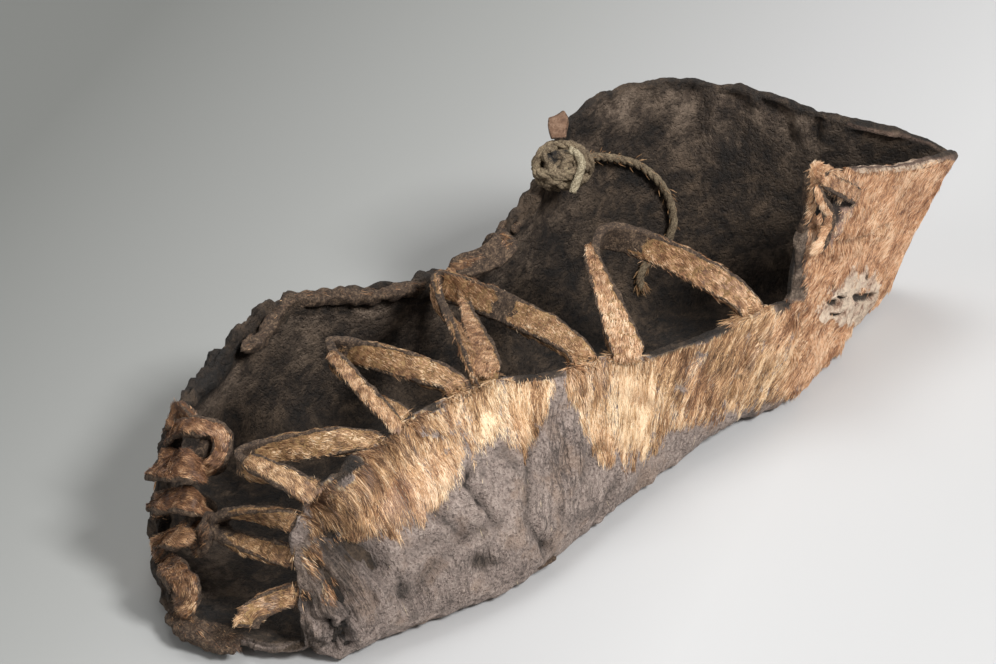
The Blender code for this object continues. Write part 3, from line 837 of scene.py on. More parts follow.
def soft_spots(across, down, table):
    """The amount in the last column of a table within its ellipses, fading away from each middle."""
    share = np.zeros(len(across))
    for *row, amount in table:
        share = np.maximum(share, amount * np.exp(-ellipse(across, down, *row)))
    return share


def spots(across, down, table, low=0.4, high=1.4, rough=0.0):
    """1 within the ellipses of a table and 0 away from them, with outlines made rough."""
    share = np.zeros(len(across))
    for row in table:
        share = np.maximum(share, 1.0 - smooth_share(ellipse(across, down, *row) + rough, low, high))
    return share


def hide_masks(places, normals, rim, rooted):
    """What each place of the hide looks like, as shares from 0 to 1."""
    across, down = pixels_of(places)
    strand, run = hair_flow(across, down)
    outer = np.einsum("ij,ij->i", normals, places - hide_axis(places)) > 0.0
    near = outer & (places[:, 1] < hide_axis(places)[:, 1])
    shown = near & (normals @ np.array(BACK) > 0.0)
    warm = smooth_share(places[:, 0] + 0.006 * noise_field(places, 8 * MM, 15), 0.040, 0.060)
    tufts = np.stack([strand, run * 0.15, np.zeros(len(places))], axis=1)
    rough = noise_field(tufts, 1.4 * MM, 1) * 9.0 + noise_field(places, 7 * MM, 2) * 8.0

    edge = np.interp(across, *np.transpose(HAIR_EDGE))
    hair = smooth_share(edge - down + 1.2 * rough, -14.0, 16.0) * near
    hair *= 0.35 + 0.65 * smooth_share(noise_field(tufts, 2.4 * MM, 28) + 0.3 * warm, -0.35, 0.05)
    for row in BALD:
        hair *= smooth_share(ellipse(across, down, *row) + 0.06 * rough, 0.4, 1.4)
    hair = np.maximum(hair, spots(across, down, TUFTS) * near * 0.40)
    hollow = soft_spots(across, down + 0.4 * rough, [row[:5] for row in HOLLOWS]) * near
    sunk = soft_spots(across, down + 0.4 * rough, [row[:4] + row[5:] for row in HOLLOWS]) * near
    hair *= 1.0 - 0.9 * smooth_share(hollow, 0.1, 0.6)
    hair *= np.maximum(smooth_share(rim, 0.1 * MM, (0.9 - 0.4 * warm) * MM), rooted)
    hair *= 1.0 - (1.0 - rooted) * smooth_share(normals[:, 2], 0.5, 0.8) * (rim < 1.4 * MM)
    hair *= 1.0 - smooth_share(across, 835, 845) * smooth_share(-down, -162, -158)
    pit = spots(across + 0.3 * rough, down - 0.25 * rough, PITS) * shown
    front_edge = near * smooth_share(across, *STRIP_LEFT) * smooth_share(-across + rough / 3.0, *STRIP_RIGHT)
    front_edge *= smooth_share(-down, *STRIP_FOOT)
    hair *= (1.0 - pit) * (1.0 - front_edge)

    heel = smooth_share(places[:, 0], 0.050, 0.070) * smooth_share(rim, 3.0 * MM, 5.0 * MM)
    far_hair = smooth_share(17 * MM - rim + 0.35 * MM * rough, 0.0, 5 * MM)
    far_hair *= smooth_share(rim, 2.5 * MM, 6 * MM)
    far_hair = np.maximum(far_hair, heel)
    far_hair *= smooth_share(places[:, 2] + 0.1 * MM * rough, 2 * MM, 7 * MM)
    hair = np.where(near, hair, far_hair * outer) * smooth_share(places[:, 2], 0.8 * MM, 3 * MM)
    crust = spots(across, down, CRUST, 0.3, 1.1, 0.06 * rough)
    return {
        "across": across, "down": down, "strand": strand, "run": run, "outer": outer, "near": near,
        "hair": hair, "crust": crust * shown, "pit": pit, "front_edge": front_edge, "hollow": hollow,
        "sunk": sunk, "inside": np.maximum(1.0 - outer, front_edge), "warm": warm * outer,
        "brown": soft_spots(across, down, BROWNED) * near,
    }


def fine_place(face, rim_tree, reach):
    """Whether a face of the hide gets a first or a second split: the near side twice, the rim once."""
    middle = face.calc_center_median()
    axis = Vector(hide_axis(np.array([middle]))[0])
    if middle.y < axis.y and face.normal.dot(middle - axis) > 0.0:
        return middle.z > 1.0 * MM
    return reach == 1 and rim_tree.find(middle)[2] < 11.0 * MM


def fold_hide(places, mask, tree):
    """How far the hide's folds move each place outwards, how creased it is there, and its painted shade: soft
    shade in hollows, fold valleys and creases, near-black shade at crease floors and in the rosette's
    crumples.
    """
    across, down, near = mask["across"], mask["down"], mask["near"]
    strand, run, level = mask["strand"], mask["run"], np.zeros(len(places))
    wall = smooth_share(places[:, 2], 2.5 * MM, 9 * MM)
    base = (1.0 - wall) * smooth_share(places[:, 2], 0.6 * MM, 2 * MM)
    move = noise_field(places, 22 * MM, 3) * 1.1 * MM * wall
    move += noise_field(places, 8 * MM, 4, 2) * 0.50 * MM * wall
    move += noise_field(places, 3.5 * MM, 19, 2) * 0.7 * MM * base
    toe_side = np.exp(-ellipse(across, down, *TOE_FOLDS)) * near
    long_folds = np.abs(noise_field(np.stack([strand, run * 0.22, level], axis=1), 4.2 * MM, 20))
    move += (0.25 - long_folds) * 3.2 * MM * toe_side * wall
    grain = 1.0 - np.abs(noise_field(places * np.array([1.0, 1.0, 0.30]), 3.2 * MM, 5)) * 2.0
    move += grain * 0.20 * MM * wall * (0.25 + 0.75 * (1.0 - mask["hair"])) * mask["outer"]
    creased = soft_spots(across, down, WRINKLED) * near
    furrows = np.abs(noise_field(np.stack([strand, run * 0.25, level], axis=1), 2.2 * MM, 6))
    move += (furrows - 0.2) * 1.3 * MM * creased * wall
    move -= (mask["pit"] * 1.2 + mask["sunk"]) * MM
    black_shade = np.zeros(len(places))
    # Painted shade in the hollows and in the valleys of the toe's long folds.
    dark = np.maximum(1.5 * mask["hollow"], smooth_share(long_folds, 0.34, 0.60) * toe_side)
    for width, depth, darkness, pixels in CREASES:
        line = under_pixels(tree, pixels)
        if len(line) < 2:
            continue
        width = width * MM
        distance = near_line(places, line)
        close = np.nonzero(distance < 5.0 * width)[0]
        bent = np.abs(distance[close] + noise_field(places[close], 2 * MM, 7) * 0.5 * MM)
        lips = fading(bent - 2.0 * width, width)
        move[close] += (0.32 * lips - fading(bent, width)) * 1.4 * depth * MM
        # Painted shade along the crease: soft across it and near-black at its floor.
        dark[close] = np.maximum(dark[close], 0.8 * darkness * fading(bent, 1.1 * width))
        black_shade[close] = np.maximum(black_shade[close], darkness * fading(bent, 0.45 * width))
    for x, y, radius, height in SWELLS:
        for place in under_pixels(tree, [(x, y)]):
            distance = np.linalg.norm(places - np.array(place), axis=1)
            move += height * MM * fading(distance, radius * MM)
    for place in under_pixels(tree, [ROSETTE]):
        share = fading(np.linalg.norm(places - np.array(place), axis=1), 4.5 * MM)
        crumple = noise_field(places, 1.8 * MM, 16, 2)
        move += share * crumple * 2.4 * MM
        # Near-black painted shade in the hollows of the crumples.
        black_shade = np.maximum(black_shade, share * smooth_share(-crumple, -0.1, 0.5))
    move += mask["crust"] * (0.5 + noise_field(places, 3.0 * MM, 8, 3)) * 0.5 * MM
    return move, creased, dark, black_shade


def tear_rim(places, normals, shift, rim, rim_place, far, front):
    """The shifted places of the hide, with its rim thick, lumpy and torn, most of all at the far front."""
    far_rim = fading(rim, 3.2 * MM) * far
    near_rim = fading(rim, 1.6 * MM) * (1.0 - far_rim)
    along_rim = np.stack([rim_place[:, 0] * 0.3, rim_place[:, 1] * 0.3, rim + 0.4 * places[:, 2]], axis=1)
    lumps = 0.5 + 0.8 * noise_field(along_rim, 2.4 * MM, 10) + 1.1 * noise_field(along_rim, 0.9 * MM, 17)
    places = places + shift
    places += normals * (far_rim * lumps * (0.4 + 1.2 * front) * MM + near_rim * 0.15 * MM)[:, None]
    ragged = noise_field(rim_place, 13 * MM, 11) * 1.0 + noise_field(rim_place, 2.2 * MM, 12) * 0.6
    torn = np.where(places[:, 1] > 0.0, 0.5 + 1.5 * front, 0.6) * np.exp(-rim / (4 * MM))
    calm = smooth_share(rim_place[:, 2], 3 * MM, 10 * MM)
    places[:, 2] += ragged * torn * (0.35 + 0.65 * calm) * MM
    across, _ = pixels_of(rim_place)
    peaks = sum(height * fading(across - x, reach) for x, reach, height in PEAKS)
    places[:, 2] += peaks * far * fading(rim, 3.5 * MM) * MM
    toe_end = smooth_share(-rim_place[:, 0], 0.080, 0.088) * (rim_place[:, 1] < -0.018)
    places[:, 0] -= (0.6 + ragged) * 1.1 * toe_end * np.exp(-rim / (4 * MM)) * MM
    return places


def work_hide():
    """The hide: a finer copy of the model's, wrinkled, creased, ragged at its rim and painted."""
    bm = merged_copy("hide_body")
    rim_tree, _ = edge_tree(cut_edges(bm, HIDE_CUT), 0.7 * MM)
    bm = refined("hide", bm, 2, 0.45, HIDE_CUT)
    for reach in (1, 2):
        seen = [face for face in bm.faces
                if face.normal.dot(BACK) > -0.1 and fine_place(face, rim_tree, reach)]
        edges = list({edge for face in seen for edge in face.edges})
        bmesh.ops.subdivide_edges(bm, edges=edges, cuts=1, use_grid_fill=True)
    places, normals = arrays_of(bm)
    nearest = [rim_tree.find(place) for place in places]
    rim = np.array([found[2] for found in nearest])
    rim_place = np.array([found[0] for found in nearest])
    root_tree = strap_roots(rim_tree)
    rooted = smooth_share(-np.array([root_tree.find(place)[2] for place in places]), -4.0 * MM, -2.0 * MM)
    mask = hide_masks(places, normals, rim, rooted)
    outer, rooted = mask["outer"], rooted * mask["near"]
    move, creased, dark, black_shade = fold_hide(places, mask, BVHTree.FromBMesh(bm))
    far = places[:, 1] > hide_axis(places)[:, 1]
    front = smooth_share(-places[:, 0], -0.036, -0.020)
    outward = np.where(outer[:, None], normals, -normals)
    places = tear_rim(places, normals, outward * move[:, None], rim, rim_place, far, front)
    places[:, 2] = np.maximum(places[:, 2], np.where(outer, 0.0, 1.3 * MM))
    lay_at(bm, places)

    pale = 0.8 * fading(rim, 0.9 * MM) * smooth_share(mask["across"], 846, 862)
    pale *= smooth_share(mask["down"], 156, 163) * smooth_share(-mask["down"], -208, -200)
    edge_reach = np.where(far, 1.5 + 2.5 * front, 0.9) * MM * (1.0 + 0.5 * noise_field(places, 3 * MM, 13))
    edge_brown = smooth_share(edge_reach - rim, -0.4 * MM, 0.4 * MM) * np.where(far, 1.0, 0.8)
    edge_brown = np.maximum(edge_brown, smooth_share(normals[:, 2], 0.35, 0.7) * (rim < 1.5 * MM))
    edge_brown *= (1.0 - pale) * (1.0 - rooted)
    # Near-black painted shade in the pits and the heel's holes.
    black_shade = np.maximum(black_shade, mask["pit"])
    # The hide's own darker blotches, added to the dark paint that otherwise holds painted shade.
    blotch = smooth_share(noise_field(places, 6 * MM, 14, 3), 0.30, 0.80) * outer * 0.5
    dark = np.maximum(dark, blotch * (1.0 - mask["crust"]) * (1.0 - mask["warm"]))
    # Paler inside colours near the far rim, fading deeper in.
    high = np.exp(-np.maximum(rim - 2 * MM, 0.0) / (9 * MM)) * far
    pale_inside = np.clip(high * (0.7 + 0.8 * noise_field(places, 9 * MM, 18)), 0.0, 1.0) * (1.0 - edge_brown)
    paints = {name: mask[name] for name in ("hair", "crust", "warm", "strand", "run", "brown")}
    paints |= {"dark": np.clip(dark, 0.0, 1.0) * outer, "black_shade": np.clip(black_shade, 0.0, 1.0), "pale": pale,
               "inside": np.maximum(mask["inside"], edge_brown), "creased": creased,
               "pale_inside": np.maximum(pale_inside, mask["front_edge"])}
    piece = make_piece("hide_body_worn", bm, HIDE_FINISH, paints)
    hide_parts("hide_body")
    return piece, rim_tree


def make_hairs(name, roots, ways, normals, lengths, widths, lifts, shades, warmths):
    """Many hairs in one piece: each a sliver with four faces, pointed at both ends and off the skin."""
    count = len(roots)
    across = np.cross(ways, normals)
    across /= np.linalg.norm(across, axis=1)[:, None]
    middle = roots + ways * (0.45 * lengths)[:, None] + normals * lifts[:, None]
    tip = roots + ways * lengths[:, None] + normals * (lifts * 0.5)[:, None]
    half = (widths / 2)[:, None]
    root = roots - normals * (0.12 * MM)
    points = np.stack([root, middle - across * half, middle + across * half, tip], axis=1)
    sliver = np.array([(0, 2, 1), (1, 2, 3), (0, 1, 3), (0, 3, 2)])
    faces = (sliver[None] + 4 * np.arange(count)[:, None, None]).reshape(-1, 3)
    mesh = bpy.data.meshes.new(name)
    mesh.from_pydata(points.reshape(-1, 3).tolist(), [], faces.tolist())
    along = np.array([-0.20, 0.0, 0.0, 0.14])
    shade = np.clip(shades[:, None] + along[None], 0.0, 1.0)
    paint_on(mesh, {"shade": shade, "warm": np.repeat(warmths, 4)})
    mesh.materials.append(HAIR_FINISH)
    item = linked(name, mesh)
    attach(item, "root")
    return item


def scatter(mesh, weights, count):
    """Random places on a mesh's triangles, as likely as their weights: place, normal and triangle."""
    mesh.calc_loop_triangles()
    corners = np.array([triangle.vertices[:] for triangle in mesh.loop_triangles])
    places = mesh_places(mesh)
    first, second, third = (places[corners[:, index]] for index in range(3))
    cross = np.cross(second - first, third - first)
    area = np.linalg.norm(cross, axis=1)
    chance = area * weights[corners].mean(axis=1)
    chosen = RANDOM.choice(len(corners), count, p=chance / chance.sum())
    u = np.sqrt(RANDOM.random(count))[:, None]
    v = RANDOM.random(count)[:, None]
    where = first[chosen] * (1 - u) + second[chosen] * (u * (1 - v)) + third[chosen] * (u * v)
    normals = cross[chosen] / np.maximum(area[chosen], 1e-15)[:, None]
    return where, normals, corners[chosen]


def laid_on(ways, normals):
    """Ways made to lie in the surface."""
    flat = ways - normals * np.einsum("ij,ij->i", ways, normals)[:, None]
    return flat / np.maximum(np.linalg.norm(flat, axis=1), 1e-9)[:, None]


def paint_values(mesh, name):
    values = np.empty(len(mesh.vertices), np.float32)
    mesh.attributes[name].data.foreach_get("value", values)
    return values


def hair_hide(hide):
    """The hide's own hair: long and blond under the near rim, short and warm on the heel, sparse behind."""
    mesh = hide.data
    places = mesh_places(mesh)
    hair = paint_values(mesh, "hair") * (1.0 - paint_values(mesh, "crust")) ** 2
    warm = paint_values(mesh, "warm")
    near = (places[:, 1] < hide_axis(places)[:, 1]).astype(float)
    weights_of = {"hair_near": hair * near * (1.0 - warm), "hair_heel": hair * warm,
                  "hair_far": hair ** 1.5 * (1.0 - near) * (1.0 - warm)}
    table = np.array(HAIR_WAYS)
    for name, count, length, width, lift, swirling in HIDE_HAIR:
        weights = weights_of[name]
        roots, normals, corners = scatter(mesh, weights, count)
        across, down = pixels_of(roots)
        strand, run = hair_flow(across, down)
        ways = (np.interp(across, table[:, 0], table[:, 1])[:, None] * np.array(RIGHT)
                - np.interp(across, table[:, 0], table[:, 2])[:, None] * np.array(UP))
        if name == "hair_far":
            ways = np.tile(np.array([-0.25, 0.0, -1.0]), (count, 1))
        swirl = np.stack([noise_field(roots, 7 * MM, seed, 2) for seed in (21, 22, 23)], axis=1)
        ways = laid_on(ways + swirl * swirling, normals)
        ways = laid_on(ways + RANDOM.normal(0.0, 0.13, (count, 3)), normals)
        tufts = np.stack([strand, run * 0.15, np.zeros(count)], axis=1)
        clump = noise_field(tufts, 0.9 * MM, 24) * 0.44 + noise_field(tufts, 3.0 * MM, 26) * 0.34
        if name == "hair_heel":
            clump = 0.5 * clump + noise_field(roots, 1.8 * MM, 27) * 0.30
        shades = 0.55 + clump + 0.28 * noise_field(roots, 11 * MM, 25, 2) + RANDOM.normal(0.0, 0.19, count)
        if name == "hair_near":
            for x, reach, gain in SHADED:
                shades += gain * fading(across - x, reach)
            shades -= 0.20 * smooth_share(-across, -440, -350) + 0.15 * smooth_share(-across, -345, -320)
        if name == "hair_heel":
            shades += 0.05 + 0.22 * noise_field(roots, 5 * MM, 30)
        share = weights[corners].mean(axis=1)
        warmths = warm[corners].mean(axis=1) + 0.25 + 0.55 * noise_field(roots, 8 * MM, 29)
        lengths = length * MM * (0.5 + 0.8 * RANDOM.random(count)) * (0.55 + 0.45 * share)
        widths = width * MM * (0.6 + 0.6 * RANDOM.random(count))
        lifts = lift * MM * (0.3 + RANDOM.random(count))
        warmths = np.clip(warmths, 0.0, 1.0)
        piece = make_hairs(name, roots, ways, normals, lengths, widths, lifts, shades, warmths)


def work_strap(node, hide_tree, rim_tree):
    """A strap: a finer copy of the model's, with rough edges, a haired face and roots grown into the rim."""
    bm = merged_copy(node)
    edge_places, edge_ways = edge_tree(cut_edges(bm, STRAP_CUT), 0.4 * MM)
    bm = refined(node, bm, 2, 0.5, STRAP_CUT)
    bmesh.ops.subdivide_edges(bm, edges=bm.edges, cuts=1, use_grid_fill=True)
    places, normals = arrays_of(bm)
    found = [edge_places.find(place) for place in places]
    edge = np.array([item[2] for item in found])
    rim = np.array([rim_tree.find(place)[2] for place in places])
    facing = smooth_share(normals @ np.array(BACK), -0.25, 0.15)
    move = noise_field(places, 4 * MM, 31, 2) * 0.36 * MM + noise_field(places, 1.3 * MM, 32) * 0.16 * MM
    ends = smooth_share(rim, 0.5 * MM, 5 * MM)
    places = places + normals * (move * ends)[:, None]
    for index in np.nonzero(rim < 1.4 * MM)[0]:
        nearest, normal, _, _ = hide_tree.find_nearest(Vector(places[index]))
        places[index] = nearest - normal * (0.8 * MM)
    lay_at(bm, places)
    patch = noise_field(places, 3 * MM, 33, 2)
    border, tip = STRAP_EDGES.get(node, (0.75, 1.0))
    middle = smooth_share(edge + 0.35 * MM * patch, (border - 0.45) * MM, (border + 0.35) * MM)
    turned = smooth_share(rim / rim.max() + 0.12 * patch, 0.72, 0.90) * tip
    hair = facing * middle * (1.0 - turned)
    if node == "collar_loop":
        across, down = pixels_of(places)
        # Over the pits behind it the loop goes bare, its dark edge colour standing in as painted shade.
        hair *= (1.0 - spots(across, down, PITS)) * smooth_share(across + 2.0 * patch, 807.0, 813.0)
    material = STRAP_FINISHES[SLOTS[node]]
    piece = make_piece(node + "_worn", bm, material, {"hair": hair})
    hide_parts(node)
    return piece, edge_places, edge_ways


def short_hair(name, roots, normals, ways, shade, warmth):
    """Short hair on a strap, lying along the ways with a slant and swirls."""
    count = len(roots)
    swirl = np.stack([noise_field(roots, 5 * MM, seed) for seed in (41, 42, 43)], axis=1)
    slant = np.cross(ways, normals) * 0.35
    ways = laid_on(ways + slant + swirl * 0.4 + RANDOM.normal(0.0, 0.12, (count, 3)), normals)
    shades = shade + 0.46 * noise_field(roots, 1.5 * MM, 44) + 0.24 * noise_field(roots, 5 * MM, 45)
    shades += RANDOM.normal(0.0, 0.18, count)
    length, width, lift = SHORT_HAIR
    lengths = length * MM * (0.5 + 0.8 * RANDOM.random(count))
    widths = width * MM * (0.6 + 0.6 * RANDOM.random(count))
    lifts = lift * MM * (0.4 + RANDOM.random(count))
    hairs = make_hairs(name, roots, ways, normals, lengths, widths, lifts, shades, np.full(count, warmth))


def hair_strap(node, piece, edge_places, edge_ways, rim_tree):
    """Short hair along a strap's haired face, lying towards the rim that the strap grows from."""
    weights = paint_values(piece.data, "hair") ** 1.5
    low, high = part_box(node)
    shade, warmth, amount = STRAP_HAIR.get(node, (0.42, 0.35, 1.0))
    count = int(amount * (900 + 90000 * (high - low).length))
    roots, normals, _ = scatter(piece.data, weights, count)
    found = [edge_places.find(root) for root in roots]
    ways = np.array([edge_ways[item[1]] for item in found])
    homewards = np.array([rim_tree.find(root)[0] for root in roots]) - roots
    ways = ways * np.where(np.einsum("ij,ij->i", ways, homewards) < 0.0, -1.0, 1.0)[:, None]
    short_hair(node + "_hair", roots, normals, ways, shade, warmth)


def smooth_route(points, parts):
    """A smooth line through some points."""
    ends = [points[0] * 2 - points[1], *points, points[-1] * 2 - points[-2]]
    line = []
    for before, start, end, after in zip(ends, ends[1:], ends[2:], ends[3:]):
        for index in range(parts):
            t = index / parts
            square = (2 * before - 5 * start + 4 * end - after) * t * t
            cube = (3 * start - before - 3 * end + after) * t ** 3
            line.append(0.5 * (2 * start + (end - before) * t + square + cube))
    return [*line, points[-1]]


def twisted(name, routes, diameter, strands=3, loose=0.0):
    """Twisted strands along each route, as one mesh of tubes."""
    curve = bpy.data.curves.new(name, "CURVE")
    curve.dimensions = "3D"
    curve.bevel_depth = diameter * 0.27
    curve.bevel_resolution = 2
    curve.use_fill_caps = True
    for route in routes:
        lengths = np.cumsum([0.0] + [(b - a).length for a, b in zip(route, route[1:])])
        side = Vector((0.3, 0.2, 1.0))
        for strand in range(strands):
            spline = curve.splines.new("POLY")
            spline.points.add(len(route) - 1)
            for index, place in enumerate(route):
                ahead = route[min(index + 1, len(route) - 1)] - route[max(index - 1, 0)]
                flat = (side - ahead * side.dot(ahead) / ahead.length_squared).normalized()
                other = ahead.cross(flat).normalized()
                angle = 2 * pi * (lengths[index] * CORD_TWIST + strand / strands)
                out = diameter * (0.23 + loose * noise.noise(place / (3 * MM) + Vector((strand, 0, 0))))
                where = place + (flat * cos(angle) + other * sin(angle)) * out
                spline.points[index].co = (*where, 1.0)
                spline.points[index].radius = 1.0 + 0.12 * noise.noise(where / (1.5 * MM))
    item = linked(name, curve)
    mesh = bpy.data.meshes.new_from_object(item)
    bpy.data.objects.remove(item)
    bm = bmesh.new()
    bm.from_mesh(mesh)
    bpy.data.meshes.remove(mesh)
    bmesh.ops.recalc_face_normals(bm, faces=bm.faces)
    return bm


def lay_band(name, slot, width, end_width, thickness, shade, warmth, amount, marks):
    """A hairy band of hide that runs through some pixels, each at its height over the floor."""
    places = []
    for across, down, height in marks:
        ray = (RIGHT * (across - TARGET_PIXEL[0]) - UP * (down - TARGET_PIXEL[1])) / FOCAL_PIXELS - BACK
        places.append(EYE + ray * ((height * MM - EYE.z) / ray.z))
    line = smooth_route(places, BAND_STEPS)
    up = (BACK + Vector((0.0, 0.0, 0.0 if slot == "tan_strap" else 1.0))).normalized()
    halves = np.linspace(width, end_width, len(line)) / 2 * MM
    rise = thickness / 2 * MM
    bm = bmesh.new()
    bmesh.ops.create_grid(bm, x_segments=len(line) - 1, y_segments=BAND_SIDES, size=1.0)
    sides = []
    for index in range(len(line)):
        ahead = line[min(index + 5, len(line) - 1)] - line[max(index - 5, 0)]
        sides.append(ahead.cross(up).normalized())
    for vert in bm.verts:
        row = round((vert.co.x + 1.0) / 2.0 * (len(line) - 1))
        angle = 2.0 * pi * round((vert.co.y + 1.0) / 2.0 * BAND_SIDES) / BAND_SIDES
        reach = (1.0 - abs(2.0 * row / (len(line) - 1) - 1.0) ** 8) ** 0.5
        wide = abs(cos(angle)) ** 0.6 * (1.0 if cos(angle) > 0.0 else -1.0)
        high = abs(sin(angle)) ** 0.6 * (1.0 if sin(angle) > 0.0 else -1.0)
        vert.co = line[row] + sides[row] * (halves[row] * wide * reach) + up * (rise * high * reach)
    bmesh.ops.remove_doubles(bm, verts=bm.verts, dist=0.01 * MM)
    bmesh.ops.recalc_face_normals(bm, faces=bm.faces)
    bmesh.ops.subdivide_edges(bm, edges=bm.edges, cuts=2, use_grid_fill=True)
    points, normals = arrays_of(bm)
    lumps = noise_field(points, 3.5 * MM, 61, 2) * 0.23 + noise_field(points, 1.2 * MM, 62) * 0.08
    tree = search_tree(line)
    rows = np.array([tree.find(point)[1] for point in points])
    off = points - np.array(line)[rows]
    aside = np.abs(np.einsum("ij,ij->i", off, np.array(sides)[rows]))
    top = smooth_share(normals @ np.array(up), 0.0, 0.4)
    points = points + normals * (lumps * thickness * MM)[:, None]
    points[:, 2] = np.maximum(points[:, 2], 0.1 * MM)
    lay_at(bm, points)
    inwards = halves[rows] - aside + 0.5 * MM * noise_field(points, 2 * MM, 63)
    middle = smooth_share(inwards, 0.5 * MM, 1.2 * MM) * top
    band = make_piece(name, bm, STRAP_FINISHES[slot], {"hair": middle * (0.0 if amount < 0.2 else 1.0)})
    if amount == 0.0:
        return
    count = int(amount * 420 * width * sum((b - a).length for a, b in zip(line, line[1:])) / (10 * MM))
    roots, lies, _ = scatter(band.data, middle ** 1.5, count)
    rows = np.array([tree.find(root)[1] for root in roots])
    aheads = np.array([line[min(row + 1, len(line) - 1)] - line[max(row - 1, 0)] for row in rows])
    aheads /= np.linalg.norm(aheads, axis=1)[:, None]
    short_hair(name + "_hair", roots, lies, aheads, shade, warmth)


def knot_routes(middle):
    """The wraps of the knot: rings that cross each other on a rounded form."""
    routes = []
    for turn, tilt, swell in KNOT_RINGS:
        axis = Vector((sin(tilt) * cos(turn), sin(tilt) * sin(turn), cos(tilt)))
        first = axis.orthogonal().normalized()
        second = axis.cross(first)
        route = []
        for index in range(45):
            angle = 2 * pi * index / 40
            wave = 0.22 * sin(2 * angle + 3 * turn) + 0.10 * sin(5 * angle + turn) - 0.10 + 0.005 * index
            way = first * cos(angle) + second * sin(angle) + axis * wave
            parts = [axis_way * (way.dot(axis_way) * half * MM)
                     for axis_way, half in zip((RIGHT, UP, BACK), KNOT_SIZE)]
            route.append(middle + (parts[0] + parts[1] + parts[2]) * swell)
        routes.append(route)
    return routes


def work_cord():
    """The drawstring with its knot, its pale end and loose fibres."""
    route = smooth_route([Vector(point) for point in CORD_ROUTE], 6)
    bm = twisted("drawstring", [route], CORD_DIAMETER, 3, 0.03)
    plain = np.zeros(len(bm.verts))
    cord = make_piece("drawstring_twisted", bm, FIBRE_FINISH, {"dark": plain, "pale": plain})
    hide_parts("drawstring")
    low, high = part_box("drawstring_knot")
    middle = (low + high) / 2
    wraps = twisted("knot", knot_routes(middle), KNOT_STRAND, 3, 0.09)
    places, _ = arrays_of(wraps)
    across, down = pixels_of(places)
    dark_spot = 0.85 * np.exp(-ellipse(across, down, *KNOT_SPOT))
    knot = make_piece("knot_wraps", wraps, FIBRE_FINISH, {"dark": dark_spot, "pale": np.zeros(len(places))})
    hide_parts("drawstring_knot")
    core = bmesh.new()
    bmesh.ops.create_icosphere(core, subdivisions=3, radius=1.0)
    bmesh.ops.scale(core, verts=core.verts, vec=Vector(KNOT_CORE) * MM)
    bmesh.ops.translate(core, verts=core.verts, vec=middle)
    full = np.ones(len(core.verts))
    # Patches of the core are painted dark, as shade between the wraps.
    heart = make_piece("knot_heart", core, FIBRE_FINISH, {"dark": 0.4 * full, "pale": 0.0 * full})
    end = [middle + RIGHT * (across * MM) + UP * (rise * MM) + BACK * (KNOT_END_FRONT * MM)
           for across, rise in KNOT_END]
    loop = twisted("knot_end", [smooth_route(end, 6)], KNOT_END_STRAND, 4, 0.12)
    full = np.ones(len(loop.verts))
    loop_end = make_piece("knot_end", loop, FIBRE_FINISH, {"dark": 0.0 * full, "pale": full})
    length = sum((b - a).length for a, b in zip(route, route[1:]))
    count = LOOSE_FIBRES
    picks = RANDOM.integers(2, len(route) - 2, count)
    bare = RANDOM.random(count) < 0.35
    picks = np.where(bare, len(route) - 3 - RANDOM.integers(0, 5, count), picks)
    roots = np.array([route[pick] for pick in picks])
    aheads = np.array([(route[pick + 1] - route[pick - 1]).normalized() for pick in picks])
    outs = laid_on(RANDOM.normal(0.0, 1.0, (count, 3)), aheads)
    roots = roots + outs * (0.45 * CORD_DIAMETER)
    ways = aheads + outs * 0.35 + RANDOM.normal(0.0, 0.25, (count, 3))
    ways /= np.linalg.norm(ways, axis=1)[:, None]
    outs = laid_on(outs, ways)
    fibres = make_hairs("drawstring_fibres", roots, ways, outs, (1.2 + 1.6 * RANDOM.random(count)) * MM,
                        np.full(count, 0.09 * MM), np.full(count, 0.20 * MM),
                        0.25 + 0.3 * RANDOM.random(count), np.zeros(count))


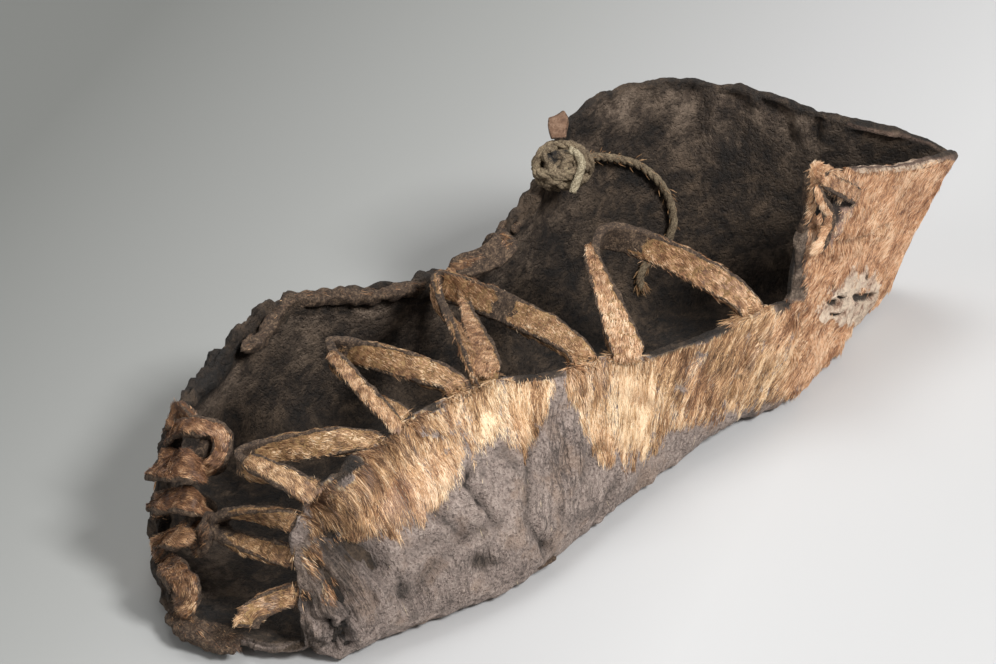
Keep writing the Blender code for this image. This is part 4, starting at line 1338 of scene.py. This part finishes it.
def work_tab():
    """The bare tab that the knot is tied to."""
    bm = merged_copy("collar_tab")
    edges, _ = edge_tree(cut_edges(bm, STRAP_CUT), 0.3 * MM)
    bm = refined("tab", bm, 2, 0.4, STRAP_CUT)
    places, normals = arrays_of(bm)
    edge = np.array([edges.find(place)[2] for place in places])
    places = places + normals * (noise_field(places, 2.5 * MM, 51) * 0.2 * MM)[:, None]
    lay_at(bm, places)
    face = smooth_share(edge, 0.1 * MM, 0.6 * MM)
    tab = make_piece("collar_tab_worn", bm, STRAP_FINISHES["bare_tab"], {"hair": 0.35 + 0.65 * face})
    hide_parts("collar_tab")


def make_stage():
    bm = bmesh.new()
    bmesh.ops.create_grid(bm, x_segments=1, y_segments=1, size=FLOOR_HALF)
    mesh = bpy.data.meshes.new("floor")
    bm.to_mesh(mesh)
    bm.free()
    mesh.materials.append(stage_finish())
    floor = linked("floor", mesh)


def make_light(name, across, rise, back, size, watts):
    """A soft square light, placed by the camera's own ways and aimed at the shoe."""
    data = bpy.data.lights.new(name, "AREA")
    data.size = size
    data.energy = watts
    light = linked(name, data)
    level = Vector((BACK.x, BACK.y, 0.0)).normalized()
    spot = RIGHT * across + Vector((0, 0, rise)) + level * back
    turn = spot.normalized().to_track_quat("Z", "Y").to_matrix().to_4x4()
    light.matrix_world = Matrix.Translation(VIEW_TARGET + spot) @ turn


def make_world():
    world = bpy.data.worlds.new("studio")
    world.use_nodes = True
    world.node_tree.nodes["Background"].inputs["Color"].default_value = WORLD_COLOUR
    world.node_tree.nodes["Background"].inputs["Strength"].default_value = WORLD_STRENGTH
    bpy.context.scene.world = world
    bpy.context.scene.view_settings.view_transform = "Standard"


def main():
    work_cord()
    work_tab()
    hide, rim_tree = work_hide()
    depsgraph = bpy.context.evaluated_depsgraph_get()
    hide_tree = BVHTree.FromObject(hide, depsgraph)
    hair_hide(hide)
    for node in STRAPS:
        hair_strap(node, *work_strap(node, hide_tree, rim_tree), rim_tree)
    for row in BANDS:
        lay_band(*row)
    make_stage()
    for row in LIGHTS:
        make_light(*row)
    make_world()


main()
